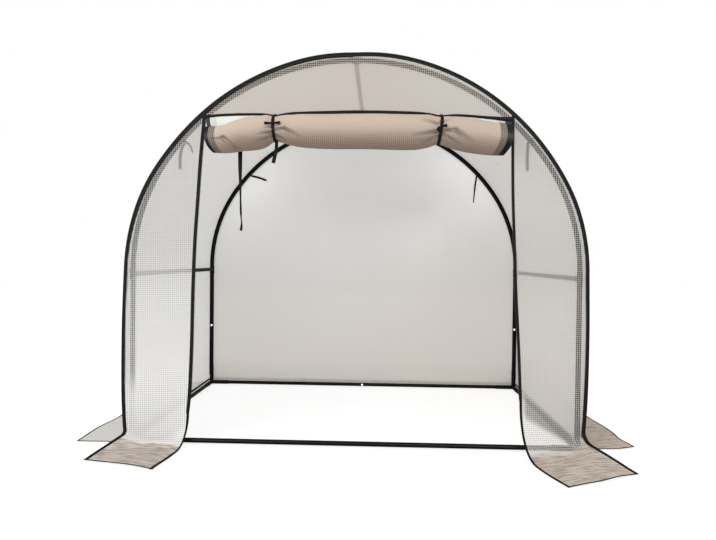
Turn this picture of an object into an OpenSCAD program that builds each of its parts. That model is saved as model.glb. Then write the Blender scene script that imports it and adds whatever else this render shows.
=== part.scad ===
// Polytunnel greenhouse: two tube hoops on ground rails under a sewn mesh-film cover
// Millimetres. The origin is on the ground midway between the hoops, and the doorway faces -Y

/* [Frame] */
// Distance between the two leg centres of a hoop
span_w = 2300; // [1900:10:2800]
// Distance between the front and rear hoops
tunnel_l = 1500; // [1200:10:3000]
// Height where the straight leg turns into the arch
leg_h = 912; // [800:1:1200]
// Rise of the arch centre line over the legs
arch_rise = 1073; // [900:1:1200]
// Half angle of the crown bend, up to its joints with the side bends
crown_a = 56; // [46:0.5:66]
// Outside diameter of the frame tubes
tube_d = 25; // [19:0.5:38]
// Wall of the frame tubes, which sets the plugged ends
tube_wall = 1.2; // [0.8:0.1:2]
// Length of a tube's plugged end
plug_l = 60; // [30:1:90]
// Wall of the fittings that sleeve over the tubes
fitting_wall = 1.7; // [1:0.1:3]
// Reach of a corner fitting's arms from the corner
arm_l = 130; // [80:1:180]
// Length of a tee sleeve along its hoop tube
clamp_l = 60; // [40:1:90]
// Joint in each leg as a share of the leg's height
leg_joint_share = 0.495; // [0.35:0.005:0.7]
// Drop of the side purlins below the top of the legs
purlin_drop = 32; // [31:1:200]

/* [Cover] */
// Thickness of the cover sheet
sheet_t = 2; // [1:0.1:4]
// Width of the sewn seam that stands out along both arches
seam_w = 10; // [6:0.5:25]
// Bend of the side and rear skirts where they meet the ground
skirt_bend = 60; // [30:1:120]
// Reach of the side skirts from the wall
skirt_reach = 280; // [150:5:400]
// Bend of the front flaps where they sweep to the ground
flap_bend = 140; // [80:5:250]
// Reach of the front flaps and the rear skirt from the wall
flap_reach = 430; // [300:5:500]
// Reach of a front flap at its outer edge as a share of that
flap_outer_share = 0.66; // [0.6:0.01:1]
// Outward sweep of a flap's inner front corner
flap_inner_sweep = 70; // [0:5:120]
// Outward sweep of a flap's outer front corner
flap_outer_sweep = 115; // [0:5:140]

/* [Doorway] */
// Doorway height over the legs as a share of the arch's rise
door_share = 0.735; // [0.6:0.005:0.8]
// Gap between the doorway's top corner and the hoop's centre line
door_gap = 2; // [0:1:60]
// Widening of the doorway on each side from top to ground
door_flare = 85; // [0:5:120]
// Width of the tape along the arches
arch_tape_w = 20; // [15:0.5:40]
// Width of the tape around the doorway
door_tape_w = 14; // [8:0.5:30]
// Thickness of the edge tapes
tape_t = 1.5; // [0.8:0.1:3]

/* [Rolled door] */
// Radius of the roll at its middle
roll_r = 88; // [75:1:110]
// Radius of the roll at its ends as a share of that
roll_end_share = 0.8; // [0.75:0.01:1]
// Depth of the waist that each tie pulls in, as a share of the radius
roll_waist_share = 0.22; // [0.05:0.01:0.3]
// Place of the ties from the middle as a share of the roll's half length
tie_share = 0.55; // [0.4:0.01:0.7]
// Width of the tie straps
tie_w = 20; // [10:1:35]
// Place of the loose strap as a share of the roll's half length
strap_share = 0.79; // [0.7:0.01:0.9]
// Width of the loose strap
strap_w = 15; // [8:1:25]
// Drop of the loose strap's end below the doorway's top
strap_drop = 590; // [400:1:900]
// Diameter of the tie tapes' tails
tail_d = 5; // [4:0.5:8]

/* [Hidden] */
$fn = 96;
arch_fn = 192;
// Circles that would only touch are made to cross by this much
lap = 0.02;
lap_drop = 20;
slip = 0.3;
tube_r = tube_d / 2;
plug_r = tube_r - tube_wall - slip;
fit_r = tube_r + slip + fitting_wall;
half_span = span_w / 2;
half_l = tunnel_l / 2;
bend_x = (half_span - arch_rise) * sin(crown_a) / (sin(crown_a) + cos(crown_a) - 1);
bend_r = half_span - bend_x;
crown_r = bend_r + bend_x / sin(crown_a);
crown_z = leg_h + arch_rise - crown_r;
bend_a = 90 - crown_a;
joint_z = leg_h + bend_r * sin(bend_a);
// Sector angles for the outline, where the tighter bend runs on under the flatter one
bend_sector = bend_x > 0 ? bend_a + 10 : bend_a;
crown_sector = bend_x > 0 ? crown_a : crown_a + 10;
plug_a = plug_l / bend_r * 180 / PI;
rail_z = fit_r;
seat_gap = 4;
arm_seat = fit_r + seat_gap;
leg_joint_h = leg_h * leg_joint_share;
purlin_h = leg_h - purlin_drop;
purlin_end = half_l - fit_r - slip;
ridge_h = leg_h + arch_rise;
far = 2 * (span_w + leg_h + arch_rise);

// Cover offsets from the tubes' centre line
cover_in = fit_r + slip;
cover_out = cover_in + sheet_t;
seam_out = cover_out + seam_w;
tape_in = seam_out - arch_tape_w + tape_t;
front_y = -half_l - cover_in;
side_x = half_span + cover_in;

// Doorway, whose top corners follow the hoop
door_h = leg_h + door_share * arch_rise;
door_top_x = arch_x(door_h) - door_gap;

// Rolled door and its ties
roll_gap = 5;
roll_lean = 0.4;
roll_end_gap = 10;
roll_steps = 40;
roll_z = door_h - tape_t - roll_r - roll_gap;
roll_y = front_y - roll_lean * roll_r;
roll_half = door_top_x - roll_end_gap;
roll_step = roll_half / roll_steps;
tie_x = tie_share * roll_half;
cinch_w = 0.7 * roll_r;
waist_r = widest(tie_x, tie_w) + slip;
spiral_pitch = 0.13 * roll_r;
spiral_turns = 4;
spiral_steps = 18;
spiral_groove = 0.25 * spiral_pitch;
spiral_depth = 30;
strap_t = 1.5;
strap_x = strap_share * roll_half;
strap_r = widest(strap_x, strap_w) + slip;
header_back = front_y + tape_t + slip;
strap_from = [header_back - roll_y, door_h - roll_z];
strap_wrap = atan2(strap_from[1], strap_from[0]) - acos(strap_r / norm(strap_from));
wrap_steps = 4;
tie_tail_l = 90;
tie_tail_lean = 3;

// Tie tapes on the hoops, with the route of each tail from its knot
knot_r = 6;
knot_in = fit_r + knot_r - 1;
front_tie_a = bend_a + 7;
rear_tie_a = bend_a + 9;
front_knot = (crown_r - knot_in) * [cos(front_tie_a), sin(front_tie_a)] + [0, crown_z];
rear_knot = (crown_r - knot_in) * [cos(rear_tie_a), sin(rear_tie_a)] + [0, crown_z];
start = knot_r + slip;
tail_front_left_a = [[start, -2], [16, -8], [25, -19], [32, -34], [38, -52]];
tail_front_left_b = [[-3, -start], [-14, -22], [-23, -48], [-27, -80], [-27, -112], [-26, -140]];
tail_front_right = [[0, -start], [-1, -40], [-2, -75], [-1, -108], [0, -138]];
tail_rear_left = [[start, -1], [34, -7], [62, -15], [88, -24], [112, -33]];
tail_rear_right_a = [[8, 8], [22, 6], [38, -3], [52, -17], [61, -32]];
tail_rear_right_b = [[0, -start], [-7, -50], [-12, -98], [-16, -144], [-20, -190]];

steel = [0.07, 0.07, 0.08];
film = [0.86, 0.84, 0.8];
tan_film = [0.72, 0.66, 0.56];
tape = [0.05, 0.05, 0.05];

// Half width of the arch's centre line at a height above the legs
function arch_x(z) =
    z > joint_z ? sqrt(pow(crown_r, 2) - pow(z - crown_z, 2))
        : bend_x + sqrt(pow(bend_r, 2) - pow(z - leg_h, 2));

// Doorway edge at a height
function door_x(z) = door_top_x + door_flare * (door_h - z) / door_h;

// Radius of the roll along its length, pulled in at the ties
function roll_radius(x) =
    roll_r * (1 - (1 - roll_end_share) * pow(x / roll_half, 2))
    - roll_r * roll_waist_share * exp(-pow((abs(x) - tie_x) / cinch_w, 2));

// Largest radius of the roll under a strap
function widest(x, w) = max(roll_radius(x - w / 2), roll_radius(x + w / 2));

// Route of the loose strap from the header round the back of the roll, at a distance off the roll
function strap_route(off) =
    let (step = strap_wrap / wrap_steps, r = (strap_r + off) / cos(step / 2))
    concat([[header_back + off, door_h + door_tape_w], [header_back + off, door_h]],
        [for (i = [wrap_steps : -1 : 0]) [roll_y + r * cos(step * i), roll_z + r * sin(step * i)]],
        [[roll_y + r, door_h - strap_drop]]);
function backward(p) = [for (i = [len(p) - 1 : -1 : 0]) p[i]];

function unit(v) = v / norm(v);
function heading(p, i) = unit(p[min(i + 1, len(p) - 1)] - p[max(i - 1, 0)]);
function ring(p, i, r, n) =
    let (t = heading(p, i), a = cross(t, [0, 1, 0]))
    [for (k = [0 : n - 1]) p[i] + r * (cos(360 * k / n) * a + sin(360 * k / n) * [0, 1, 0])];
function in_hoop(p, knot, s, y) = [for (q = p) [s * knot[0] + q[0], y, knot[1] + q[1]]];

// A round cord swept through points that lie in one hoop's plane
module cord(p, d, n) {
    last = len(p) - 1;
    polyhedron(
        points = [for (i = [0 : last]) each ring(p, i, d / 2, n)],
        faces = concat(
            [[for (k = [0 : n - 1]) k]],
            [for (i = [0 : last - 1], k = [0 : n - 1])
                [i * n + k, i * n + n + k, i * n + n + (k + 1) % n, i * n + (k + 1) % n]],
            [[for (k = [n - 1 : -1 : 0]) last * n + k]]));
}

// Helpers that set a flat profile along Y or X
module along_y(y0, y1) {
    translate([0, y1, 0]) rotate([90, 0, 0]) linear_extrude(y1 - y0) children();
}

module along_x(x0, x1) {
    translate([x0, 0, 0]) rotate([90, 0, 90]) linear_extrude(x1 - x0) children();
}

module rod_x(x0, x1, r) {
    translate([x0, 0, 0]) rotate([0, 90, 0]) cylinder(h = x1 - x0, r = r);
}

module rod_y(y0, y1, r) {
    translate([0, y1, 0]) rotate([90, 0, 0]) cylinder(h = y1 - y0, r = r);
}

// A bent rod in the hoop's plane, by its bend centre and angles from +X
module bend(x, z, radius, a0, a1, r) {
    translate([x, 0, z]) rotate([90, 0, 0]) rotate([0, 0, a0])
        rotate_extrude(angle = a1 - a0) translate([radius, 0]) circle(r);
}

// The arch's outline, offset from the tubes' centre line
module arch_region(off) {
    translate([-half_span - off, 0]) square([span_w + 2 * off, leg_h]);
    for (s = [0, 1])
        mirror([s, 0]) translate([bend_x, leg_h]) intersection() {
            circle(bend_r + off + lap, $fn = arch_fn);
            polygon([[-lap_drop, -lap_drop], [far, -lap_drop],
                [far * cos(bend_sector), far * sin(bend_sector)], [-lap_drop, 0]]);
        }
    translate([0, crown_z]) intersection() {
        circle(crown_r + off, $fn = arch_fn);
        polygon([[0, 0], [far * sin(crown_sector), far * cos(crown_sector)],
            [-far * sin(crown_sector), far * cos(crown_sector)]]);
    }
}

// Frame
module corner(sx, sy) {
    color(steel) translate([sx * half_span, sy * half_l, rail_z])
        mirror([sx > 0 ? 1 : 0, 0, 0]) mirror([0, sy > 0 ? 1 : 0, 0]) difference() {
            union() {
                sphere(fit_r);
                rod_x(0, arm_l, fit_r);
                rod_y(0, arm_l, fit_r);
                cylinder(h = arm_l, r = fit_r);
            }
            rod_x(arm_seat, arm_l + 1, tube_r + slip);
            rod_y(arm_seat, arm_l + 1, tube_r + slip);
            translate([0, 0, arm_seat]) cylinder(h = arm_l, r = tube_r + slip);
        }
}

module leg(sx, sy) {
    color(steel) translate([sx * half_span, sy * half_l, 0]) {
        translate([0, 0, rail_z + arm_seat]) cylinder(h = leg_joint_h - rail_z - arm_seat, r = tube_r);
        translate([0, 0, leg_joint_h - 1]) cylinder(h = plug_l + 1, r = plug_r);
    }
}

module hoop_side(sx, sy) {
    color(steel) translate([0, sy * half_l, 0]) mirror([sx > 0 ? 0 : 1, 0, 0]) difference() {
        union() {
            translate([half_span, 0, leg_joint_h]) cylinder(h = leg_h - leg_joint_h, r = tube_r);
            bend(bend_x, leg_h, bend_r, 0, bend_a, tube_r);
        }
        translate([half_span, 0, leg_joint_h - 1]) cylinder(h = plug_l + 2, r = plug_r + slip);
        bend(bend_x, leg_h, bend_r, bend_a - 1.05 * plug_a, bend_a + 1, plug_r + slip);
    }
}

module crown(sy) {
    color(steel) translate([0, sy * half_l, 0]) {
        bend(0, crown_z, crown_r, bend_a, 180 - bend_a, tube_r);
        bend(bend_x, leg_h, bend_r, bend_a - plug_a, bend_a + 0.1, plug_r);
        bend(-bend_x, leg_h, bend_r, 179.9 - bend_a, 180 - bend_a + plug_a, plug_r);
    }
}

module end_rail_left(sy) {
    color(steel) translate([0, sy * half_l, rail_z]) {
        rod_x(arm_seat - half_span, 0, tube_r);
        rod_x(-1, plug_l, plug_r);
    }
}

module end_rail_right(sy) {
    color(steel) translate([0, sy * half_l, rail_z]) difference() {
        rod_x(0, half_span - arm_seat, tube_r);
        rod_x(-1, plug_l + 1, plug_r + slip);
    }
}

module side_rail(sx) {
    color(steel) translate([sx * half_span, 0, rail_z]) rod_y(arm_seat - half_l, half_l - arm_seat, tube_r);
}

module purlin(x, z) {
    color(steel) translate([x, 0, z]) rod_y(-purlin_end, purlin_end, tube_r);
}

module side_clamp(sx, sy) {
    translate([sx * half_span, sy * half_l, purlin_h]) mirror([0, sy > 0 ? 1 : 0, 0]) difference() {
        union() {
            translate([0, 0, -clamp_l / 2]) cylinder(h = clamp_l, r = fit_r);
            rod_y(0, clamp_l, fit_r);
        }
        translate([0, 0, -clamp_l]) cylinder(h = 2 * clamp_l, r = tube_r + slip);
        rod_y(0, clamp_l + 1, tube_r + slip);
    }
}

module ridge_clamp(sy) {
    translate([0, sy * half_l, ridge_h]) mirror([0, sy > 0 ? 1 : 0, 0]) difference() {
        union() {
            rod_x(-clamp_l / 2, clamp_l / 2, fit_r);
            rod_y(0, clamp_l, fit_r);
        }
        rod_x(-clamp_l, clamp_l, tube_r + 2 * slip);
        rod_y(0, clamp_l + 1, tube_r + slip);
    }
}

module purlin_clamps() {
    color(steel) for (sy = [-1, 1]) {
        ridge_clamp(sy);
        side_clamp(-1, sy);
        side_clamp(1, sy);
    }
}

// Cover
module roof_sheet() {
    color(film) along_y(front_y, -front_y) difference() {
        arch_region(cover_out);
        arch_region(cover_in);
        translate([-far / 2, leg_h - far]) square(far);
    }
}

// A wall that bends outward into a skirt, drawn from the wall's inner face
module skirt_profile(wall_h, bend_at, reach) {
    translate([0, bend_at]) square([sheet_t, wall_h - bend_at]);
    translate([bend_at, bend_at]) intersection() {
        difference() {
            circle(bend_at);
            circle(bend_at - sheet_t);
        }
        translate([-bend_at, -bend_at]) square(bend_at);
    }
    translate([bend_at, 0]) square([reach - bend_at, sheet_t]);
}

module side_wall(sx) {
    color(film) mirror([sx > 0 ? 0 : 1, 0, 0]) along_y(front_y, -front_y)
        translate([side_x, 0]) skirt_profile(leg_h, skirt_bend, skirt_reach);
}

module rear_wall() {
    color(film) {
        along_y(-front_y, sheet_t - front_y) difference() {
            arch_region(seam_out);
            translate([-far / 2, skirt_bend - far]) square(far);
        }
        along_x(-half_span - seam_out, half_span + seam_out)
            translate([-front_y, 0]) skirt_profile(skirt_bend + 1, skirt_bend, flap_reach);
    }
}

module front_gable() {
    color(film) along_y(front_y - sheet_t, front_y) intersection() {
        arch_region(seam_out);
        translate([-far / 2, door_h]) square(far);
    }
}

// Plan of a front flap, from the wall to its slanted front edge
module flap_plan() {
    edge_x = half_span + seam_out;
    polygon([[door_x(flap_bend), front_y], [door_x(flap_bend), front_y - 2 * sheet_t],
        [door_x(0) + flap_inner_sweep, front_y - flap_reach],
        [edge_x + flap_outer_sweep, front_y - flap_outer_share * flap_reach],
        [edge_x, front_y - 2 * sheet_t], [edge_x, front_y]]);
}

module front_wall(sx) {
    color(film) mirror([sx > 0 ? 0 : 1, 0, 0]) {
        along_y(front_y - sheet_t, front_y) intersection() {
            arch_region(seam_out);
            polygon([[door_x(flap_bend), flap_bend], [far, flap_bend],
                [far, door_h], [door_x(door_h), door_h]]);
        }
        intersection() {
            along_x(0, far) translate([front_y, 0]) mirror([1, 0])
                skirt_profile(flap_bend + 1, flap_bend, flap_reach + 1);
            linear_extrude(flap_bend) flap_plan();
        }
    }
}

// Rolled door, cut with the spiral of its layers at both ends
module roll_spiral() {
    last = spiral_steps * spiral_turns;
    turn = 360 / spiral_steps;
    polygon(concat(
        [for (i = [0 : last]) spiral_pitch * (1 + i / spiral_steps) * [cos(turn * i), sin(turn * i)]],
        [for (i = [last : -1 : 0])
            (spiral_groove + spiral_pitch * (1 + i / spiral_steps)) * [cos(turn * i), sin(turn * i)]]));
}

module tie_space(r, w) {
    for (s = [-1, 1])
        translate([s * tie_x, roll_y, roll_z]) rod_x(-w / 2, w / 2, r);
}

module rolled_door() {
    color(tan_film) {
        difference() {
            translate([0, roll_y, roll_z]) rotate([0, 90, 0]) rotate_extrude()
                polygon(concat([[0, -roll_half]],
                    [for (i = [-roll_steps : roll_steps]) [roll_radius(i * roll_step), i * roll_step]],
                    [[0, roll_half]]));
            for (s = [0, 1])
                mirror([s, 0, 0]) translate([roll_half - spiral_depth, roll_y, roll_z]) rotate([90, 0, 90])
                    linear_extrude(spiral_depth + 1) roll_spiral();
        }
        difference() {
            along_x(-roll_half, roll_half)
                translate([front_y - sheet_t, roll_z]) square([sheet_t, door_h - tape_t - roll_z]);
            tie_space(waist_r + strap_t + slip, tie_w + 2 * slip);
        }
    }
}

// Trim
module arch_binding(sy) {
    color(tape) mirror([0, sy > 0 ? 1 : 0, 0]) difference() {
        along_y(front_y - sheet_t - tape_t, front_y + tape_t) difference() {
            arch_region(seam_out + tape_t);
            arch_region(tape_in);
            translate([-far / 2, flap_bend - far]) square(far);
        }
        along_y(front_y - sheet_t, front_y) arch_region(seam_out);
        along_y(front_y - slip, -front_y) arch_region(cover_out);
    }
}

module door_header_tape() {
    color(tape) difference() {
        along_y(front_y - sheet_t - tape_t, front_y + tape_t) intersection() {
            arch_region(tape_in - slip);
            translate([slip - door_top_x, door_h - tape_t])
                square([2 * (door_top_x - slip), door_tape_w + tape_t]);
        }
        along_y(front_y - sheet_t, front_y) translate([-far / 2, door_h]) square(far);
    }
}

module door_tape(sx) {
    top = door_h - tape_t - slip;
    color(tape) mirror([sx > 0 ? 0 : 1, 0, 0]) difference() {
        along_y(front_y - sheet_t - tape_t, front_y + tape_t) intersection() {
            arch_region(tape_in - slip);
            polygon([[door_x(flap_bend) - tape_t, flap_bend], [door_x(flap_bend) + door_tape_w, flap_bend],
                [door_x(top) + door_tape_w, top], [door_x(top) - tape_t, top]]);
        }
        along_y(front_y - sheet_t, front_y)
            polygon([[door_x(0), 0], [far, 0], [far, door_h], [door_x(door_h), door_h]]);
    }
}

module door_ties() {
    hang_y = front_y - sheet_t - slip - strap_t;
    color(tape) {
        difference() {
            tie_space(waist_r + strap_t, tie_w);
            tie_space(waist_r, tie_w + 2);
        }
        difference() {
            for (s = [-1, 1])
                translate([s * tie_x - tie_w / 2, hang_y, roll_z])
                    cube([tie_w, strap_t, door_h - tape_t - roll_z]);
            tie_space(waist_r + strap_t / 2, tie_w + 2);
        }
    }
}

// A tape tied round a hoop tube, with its knot on the inner side
module hoop_tie(a) {
    translate([0, 0, crown_z]) rotate([0, -a, 0]) {
        translate([crown_r, 0, 0]) difference() {
            translate([0, 0, -knot_r]) cylinder(h = 2 * knot_r, r = fit_r);
            translate([0, 0, -2 * knot_r]) cylinder(h = 4 * knot_r, r = tube_r + slip);
        }
        translate([crown_r - knot_in, 0, 0]) rod_y(-knot_r, knot_r, knot_r);
    }
}

module hoop_ties() {
    color(tape) for (s = [0, 1]) {
        mirror([s, 0, 0]) translate([0, -half_l, 0]) hoop_tie(front_tie_a);
        mirror([s, 0, 0]) translate([0, half_l, 0]) hoop_tie(rear_tie_a);
    }
}

// Free straps and tails
module door_strap() {
    color(tape) along_x(-strap_x - strap_w / 2, strap_w / 2 - strap_x)
        polygon(concat(strap_route(0), backward(strap_route(strap_t))));
}

module door_tie_tail() {
    low = roll_z - waist_r - strap_t - slip;
    color(tape) along_x(-tie_x - strap_w / 2, strap_w / 2 - tie_x)
        polygon([[roll_y, low], [roll_y - tie_tail_lean, low - tie_tail_l / 2],
            [roll_y - tie_tail_lean, low - tie_tail_l], [roll_y - tie_tail_lean - strap_t, low - tie_tail_l],
            [roll_y - tie_tail_lean - strap_t, low - tie_tail_l / 2], [roll_y - strap_t, low]]);
}

module front_left_tails() {
    color(tape) {
        cord(in_hoop(tail_front_left_a, front_knot, -1, -half_l), tail_d, 8);
        cord(in_hoop(tail_front_left_b, front_knot, -1, -half_l), tail_d, 8);
    }
}

module front_right_tail() {
    color(tape) cord(in_hoop(tail_front_right, front_knot, 1, -half_l), tail_d, 8);
}

module rear_left_tail() {
    color(tape) cord(in_hoop(tail_rear_left, rear_knot, -1, half_l), tail_d, 8);
}

module rear_right_tails() {
    color(tape) {
        cord(in_hoop(tail_rear_right_a, rear_knot, 1, half_l - fit_r - slip - tail_d / 2), tail_d, 8);
        cord(in_hoop(tail_rear_right_b, rear_knot, 1, half_l), tail_d, 8);
    }
}

corner(-1, -1);  // front_left_corner
corner(1, -1);  // front_right_corner
corner(-1, 1);  // rear_left_corner
corner(1, 1);  // rear_right_corner
leg(-1, -1);  // front_left_leg
leg(1, -1);  // front_right_leg
leg(-1, 1);  // rear_left_leg
leg(1, 1);  // rear_right_leg
hoop_side(-1, -1);  // front_left_side
hoop_side(1, -1);  // front_right_side
hoop_side(-1, 1);  // rear_left_side
hoop_side(1, 1);  // rear_right_side
crown(-1);  // front_crown
crown(1);  // rear_crown
end_rail_left(-1);  // front_left_rail
end_rail_right(-1);  // front_right_rail
end_rail_left(1);  // rear_left_rail
end_rail_right(1);  // rear_right_rail
side_rail(-1);  // left_rail
side_rail(1);  // right_rail
purlin(-half_span, purlin_h);  // left_purlin
purlin(half_span, purlin_h);  // right_purlin
purlin(0, ridge_h);  // ridge_purlin
purlin_clamps();
roof_sheet();
side_wall(-1);  // left_wall
side_wall(1);  // right_wall
rear_wall();
front_gable();
front_wall(-1);  // front_left_wall
front_wall(1);  // front_right_wall
rolled_door();
arch_binding(-1);  // front_arch_binding
arch_binding(1);  // rear_arch_binding
door_header_tape();
door_tape(-1);  // left_door_tape
door_tape(1);  // right_door_tape
door_ties();
hoop_ties();
door_strap();
door_tie_tail();
front_left_tails();
front_right_tail();
rear_left_tail();
rear_right_tails();
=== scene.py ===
import math
import bpy
import bmesh
from mathutils import Matrix, Vector


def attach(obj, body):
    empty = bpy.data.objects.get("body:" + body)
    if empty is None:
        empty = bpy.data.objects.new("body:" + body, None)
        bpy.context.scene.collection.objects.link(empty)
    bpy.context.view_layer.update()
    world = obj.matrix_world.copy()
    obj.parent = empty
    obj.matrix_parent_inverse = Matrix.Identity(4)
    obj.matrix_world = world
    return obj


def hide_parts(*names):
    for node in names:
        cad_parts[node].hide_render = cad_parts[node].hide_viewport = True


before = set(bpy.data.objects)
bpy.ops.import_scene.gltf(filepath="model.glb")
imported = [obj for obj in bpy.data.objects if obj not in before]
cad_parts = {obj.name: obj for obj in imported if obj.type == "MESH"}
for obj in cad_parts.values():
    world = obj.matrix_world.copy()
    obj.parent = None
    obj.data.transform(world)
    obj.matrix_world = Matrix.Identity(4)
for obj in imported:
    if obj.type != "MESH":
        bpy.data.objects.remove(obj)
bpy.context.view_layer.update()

# the hoop's sizes, in metres, as the part's source has them
hoop = {"legX": 1.15, "planeY": 0.75, "legH": 0.912, "bendX": 0.16443, "bendR": 0.98557,
        "crownR": 1.18391, "crownZ": 0.80109, "bendTurn": math.radians(34), "crownTurn": math.radians(56),
        "coverOff": 0.0158, "seamOff": 0.0268, "tapeOff": 0.0283, "rearSeam": 0.0190, "endY": 0.7658,
        "doorH": 1.7007}


# camera, at the photograph's angle; the image is 716 by 540
cameraSet = {"place": (0.1403, -3.8902, 0.9681), "focalPx": 610.82, "imageW": 716.0, "sensor": 36.0,
             "yaw": -2.136, "pitch": -1.001, "roll": 0.628}


def placeCamera(s):
    yaw, pitch, roll = (math.radians(s[k]) for k in ("yaw", "pitch", "roll"))
    forward = Vector((math.sin(yaw) * math.cos(pitch), math.cos(yaw) * math.cos(pitch), math.sin(pitch)))
    right = Vector((math.cos(yaw), -math.sin(yaw), 0))
    up = right.cross(forward)
    turnedRight = math.cos(roll) * right + math.sin(roll) * up
    turnedUp = -math.sin(roll) * right + math.cos(roll) * up
    lens = bpy.data.cameras.new("photoCamera")
    lens.sensor_fit = "HORIZONTAL"
    lens.sensor_width = s["sensor"]
    lens.lens = s["focalPx"] / s["imageW"] * s["sensor"]
    camera = bpy.data.objects.new("photoCamera", lens)
    bpy.context.collection.objects.link(camera)
    camera.matrix_world = Matrix((turnedRight, turnedUp, -forward)).transposed().to_4x4()
    camera.location = s["place"]
    bpy.context.scene.camera = camera


placeCamera(cameraSet)
print("camera placed")


# shader sockets as Python values
class Val:
    def __init__(self, finish, socket):
        self.finish = finish
        self.socket = socket

    def math(self, operation, *others):
        return self.finish.value("ShaderNodeMath", {"operation": operation},
                                 dict(enumerate((self,) + others)))

    def __add__(self, other):
        return self.math("ADD", other)

    def __radd__(self, other):
        return self.math("ADD", other)

    def __mul__(self, other):
        return self.math("MULTIPLY", other)

    def __rmul__(self, other):
        return self.math("MULTIPLY", other)

    def __sub__(self, other):
        return self.math("SUBTRACT", other)

    def __rsub__(self, other):
        return (self * -1.0).math("ADD", other)

    def __truediv__(self, other):
        return self.math("DIVIDE", other)


class NodeBench:
    # adds nodes to a tree: type, settings first, then socket values or links
    tree = None

    def node(self, kind, settings=None, inputs=None):
        made = self.tree.nodes.new(kind)
        for key, value in (settings or {}).items():
            setattr(made, key, value)
        for key, value in (inputs or {}).items():
            if isinstance(value, Val):
                self.tree.links.new(value.socket, made.inputs[key])
            elif isinstance(value, bpy.types.NodeSocket):
                self.tree.links.new(value, made.inputs[key])
            else:
                made.inputs[key].default_value = value
        return made


class Finish(NodeBench):
    def __init__(self, name):
        self.material = bpy.data.materials.new(name)
        self.material.use_nodes = True
        self.tree = self.material.node_tree
        self.tree.nodes.clear()

    def value(self, kind, settings=None, inputs=None, output=0):
        return Val(self, self.node(kind, settings, inputs).outputs[output])

    def objectSpot(self):
        return self.value("ShaderNodeTexCoord", None, None, "Object")

    def cutSpot(self):
        return self.value("ShaderNodeUVMap", {"uv_map": "cut"})

    def mark(self, name):
        return self.value("ShaderNodeAttribute", {"attribute_name": name}, None, "Fac")

    def noise(self, spot, scale, detail=2.0, rough=0.5):
        return self.value("ShaderNodeTexNoise", None,
                          {"Vector": spot, "Scale": scale, "Detail": detail, "Roughness": rough}, "Fac")

    def stretched(self, spot, scale):
        return self.value("ShaderNodeMapping", None, {"Vector": spot, "Scale": scale})

    def ramp(self, value, low, high):
        return self.value("ShaderNodeMapRange", {"interpolation_type": "SMOOTHSTEP"},
                          {"Value": value, "From Min": low, "From Max": high})

    def mixColour(self, share, first, second):
        made = self.node("ShaderNodeMix", {"data_type": "RGBA"}, {0: share, 6: first, 7: second})
        return Val(self, made.outputs[2])

    def mixShader(self, share, first, second):
        return self.value("ShaderNodeMixShader", None, {0: share, 1: first, 2: second})

    def threadGrid(self, cut, pitch, share, soft=0.05):
        # 1 on the threads of a square scrim; share of the pitch is their width
        parts = self.node("ShaderNodeSeparateXYZ", None, {0: cut})
        edge = 0.5 - share / 2
        lines = []
        for axis in (0, 1):
            along = (Val(self, parts.outputs[axis]) / pitch).math("FRACT")
            lines.append(self.ramp((along - 0.5).math("ABSOLUTE"), edge - soft, edge + soft))
        return lines[0].math("MAXIMUM", lines[1])

    def bump(self, height, strength, distance):
        return self.value("ShaderNodeBump", None,
                          {"Height": height, "Strength": strength, "Distance": distance})

    def principled(self, inputs):
        return self.value("ShaderNodeBsdfPrincipled", None, inputs)

    def close(self, surface):
        self.node("ShaderNodeOutputMaterial", None, {"Surface": surface})
        return self.material


def grey(level, warm=0.0):
    return (level, level * (1 - warm * 0.5), level * (1 - warm), 1.0)


# finishes
def makePowderBlack():
    f = Finish("powderBlack")
    spot = f.objectSpot()
    cloud = f.noise(spot, 11.0, 4.0)
    grain = f.noise(spot, 700.0, 2.0)
    scuff = f.ramp(f.noise(f.stretched(spot, (1.0, 1.0, 0.25)), 60.0, 3.0), 0.62, 0.78)
    colour = f.mixColour(cloud, grey(0.002), grey(0.005, 0.05))
    colour = f.mixColour(scuff * 0.25, colour, grey(0.018, 0.05))
    return f.close(f.principled({"Base Color": colour, "Roughness": 0.34 + 0.18 * cloud,
                                 "Normal": f.bump(grain, 0.15, 0.0004), "Specular IOR Level": 0.03}))


def makeZincSteel():
    f = Finish("zincSteel")
    cloud = f.noise(f.objectSpot(), 160.0, 3.0)
    colour = f.mixColour(cloud, (0.50, 0.50, 0.50, 1), (0.76, 0.75, 0.72, 1))
    return f.close(f.principled({"Base Color": colour, "Metallic": 1.0, "Roughness": 0.26 + 0.2 * cloud}))


# lit is a near white for painted light; coolGround and warmGround are darker colours for film on the ground,
# painted shade; the darkest grey is for a painted shadow band
filmSet = {"pitch": 0.010, "thread": 0.27, "threadAlpha": 0.96, "windowAlpha": 0.36, "denseAlpha": 0.95,
           "lyingAlpha": 0.97, "paintedShadowAlpha": 0.92, "through": 0.5, "rough": 0.25, "mattRough": 0.65,
           "cool": (0.64, 0.64, 0.625, 1), "warm": (0.585, 0.485, 0.40, 1), "lit": (0.96, 0.96, 0.945, 1),
           "coolGround": (0.262, 0.222, 0.187, 1), "warmGround": (0.376, 0.268, 0.187, 1),
           "paintedShadow": grey(0.085, 0.16), "glow": (0.48, 0.47, 0.45, 1)}


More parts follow.
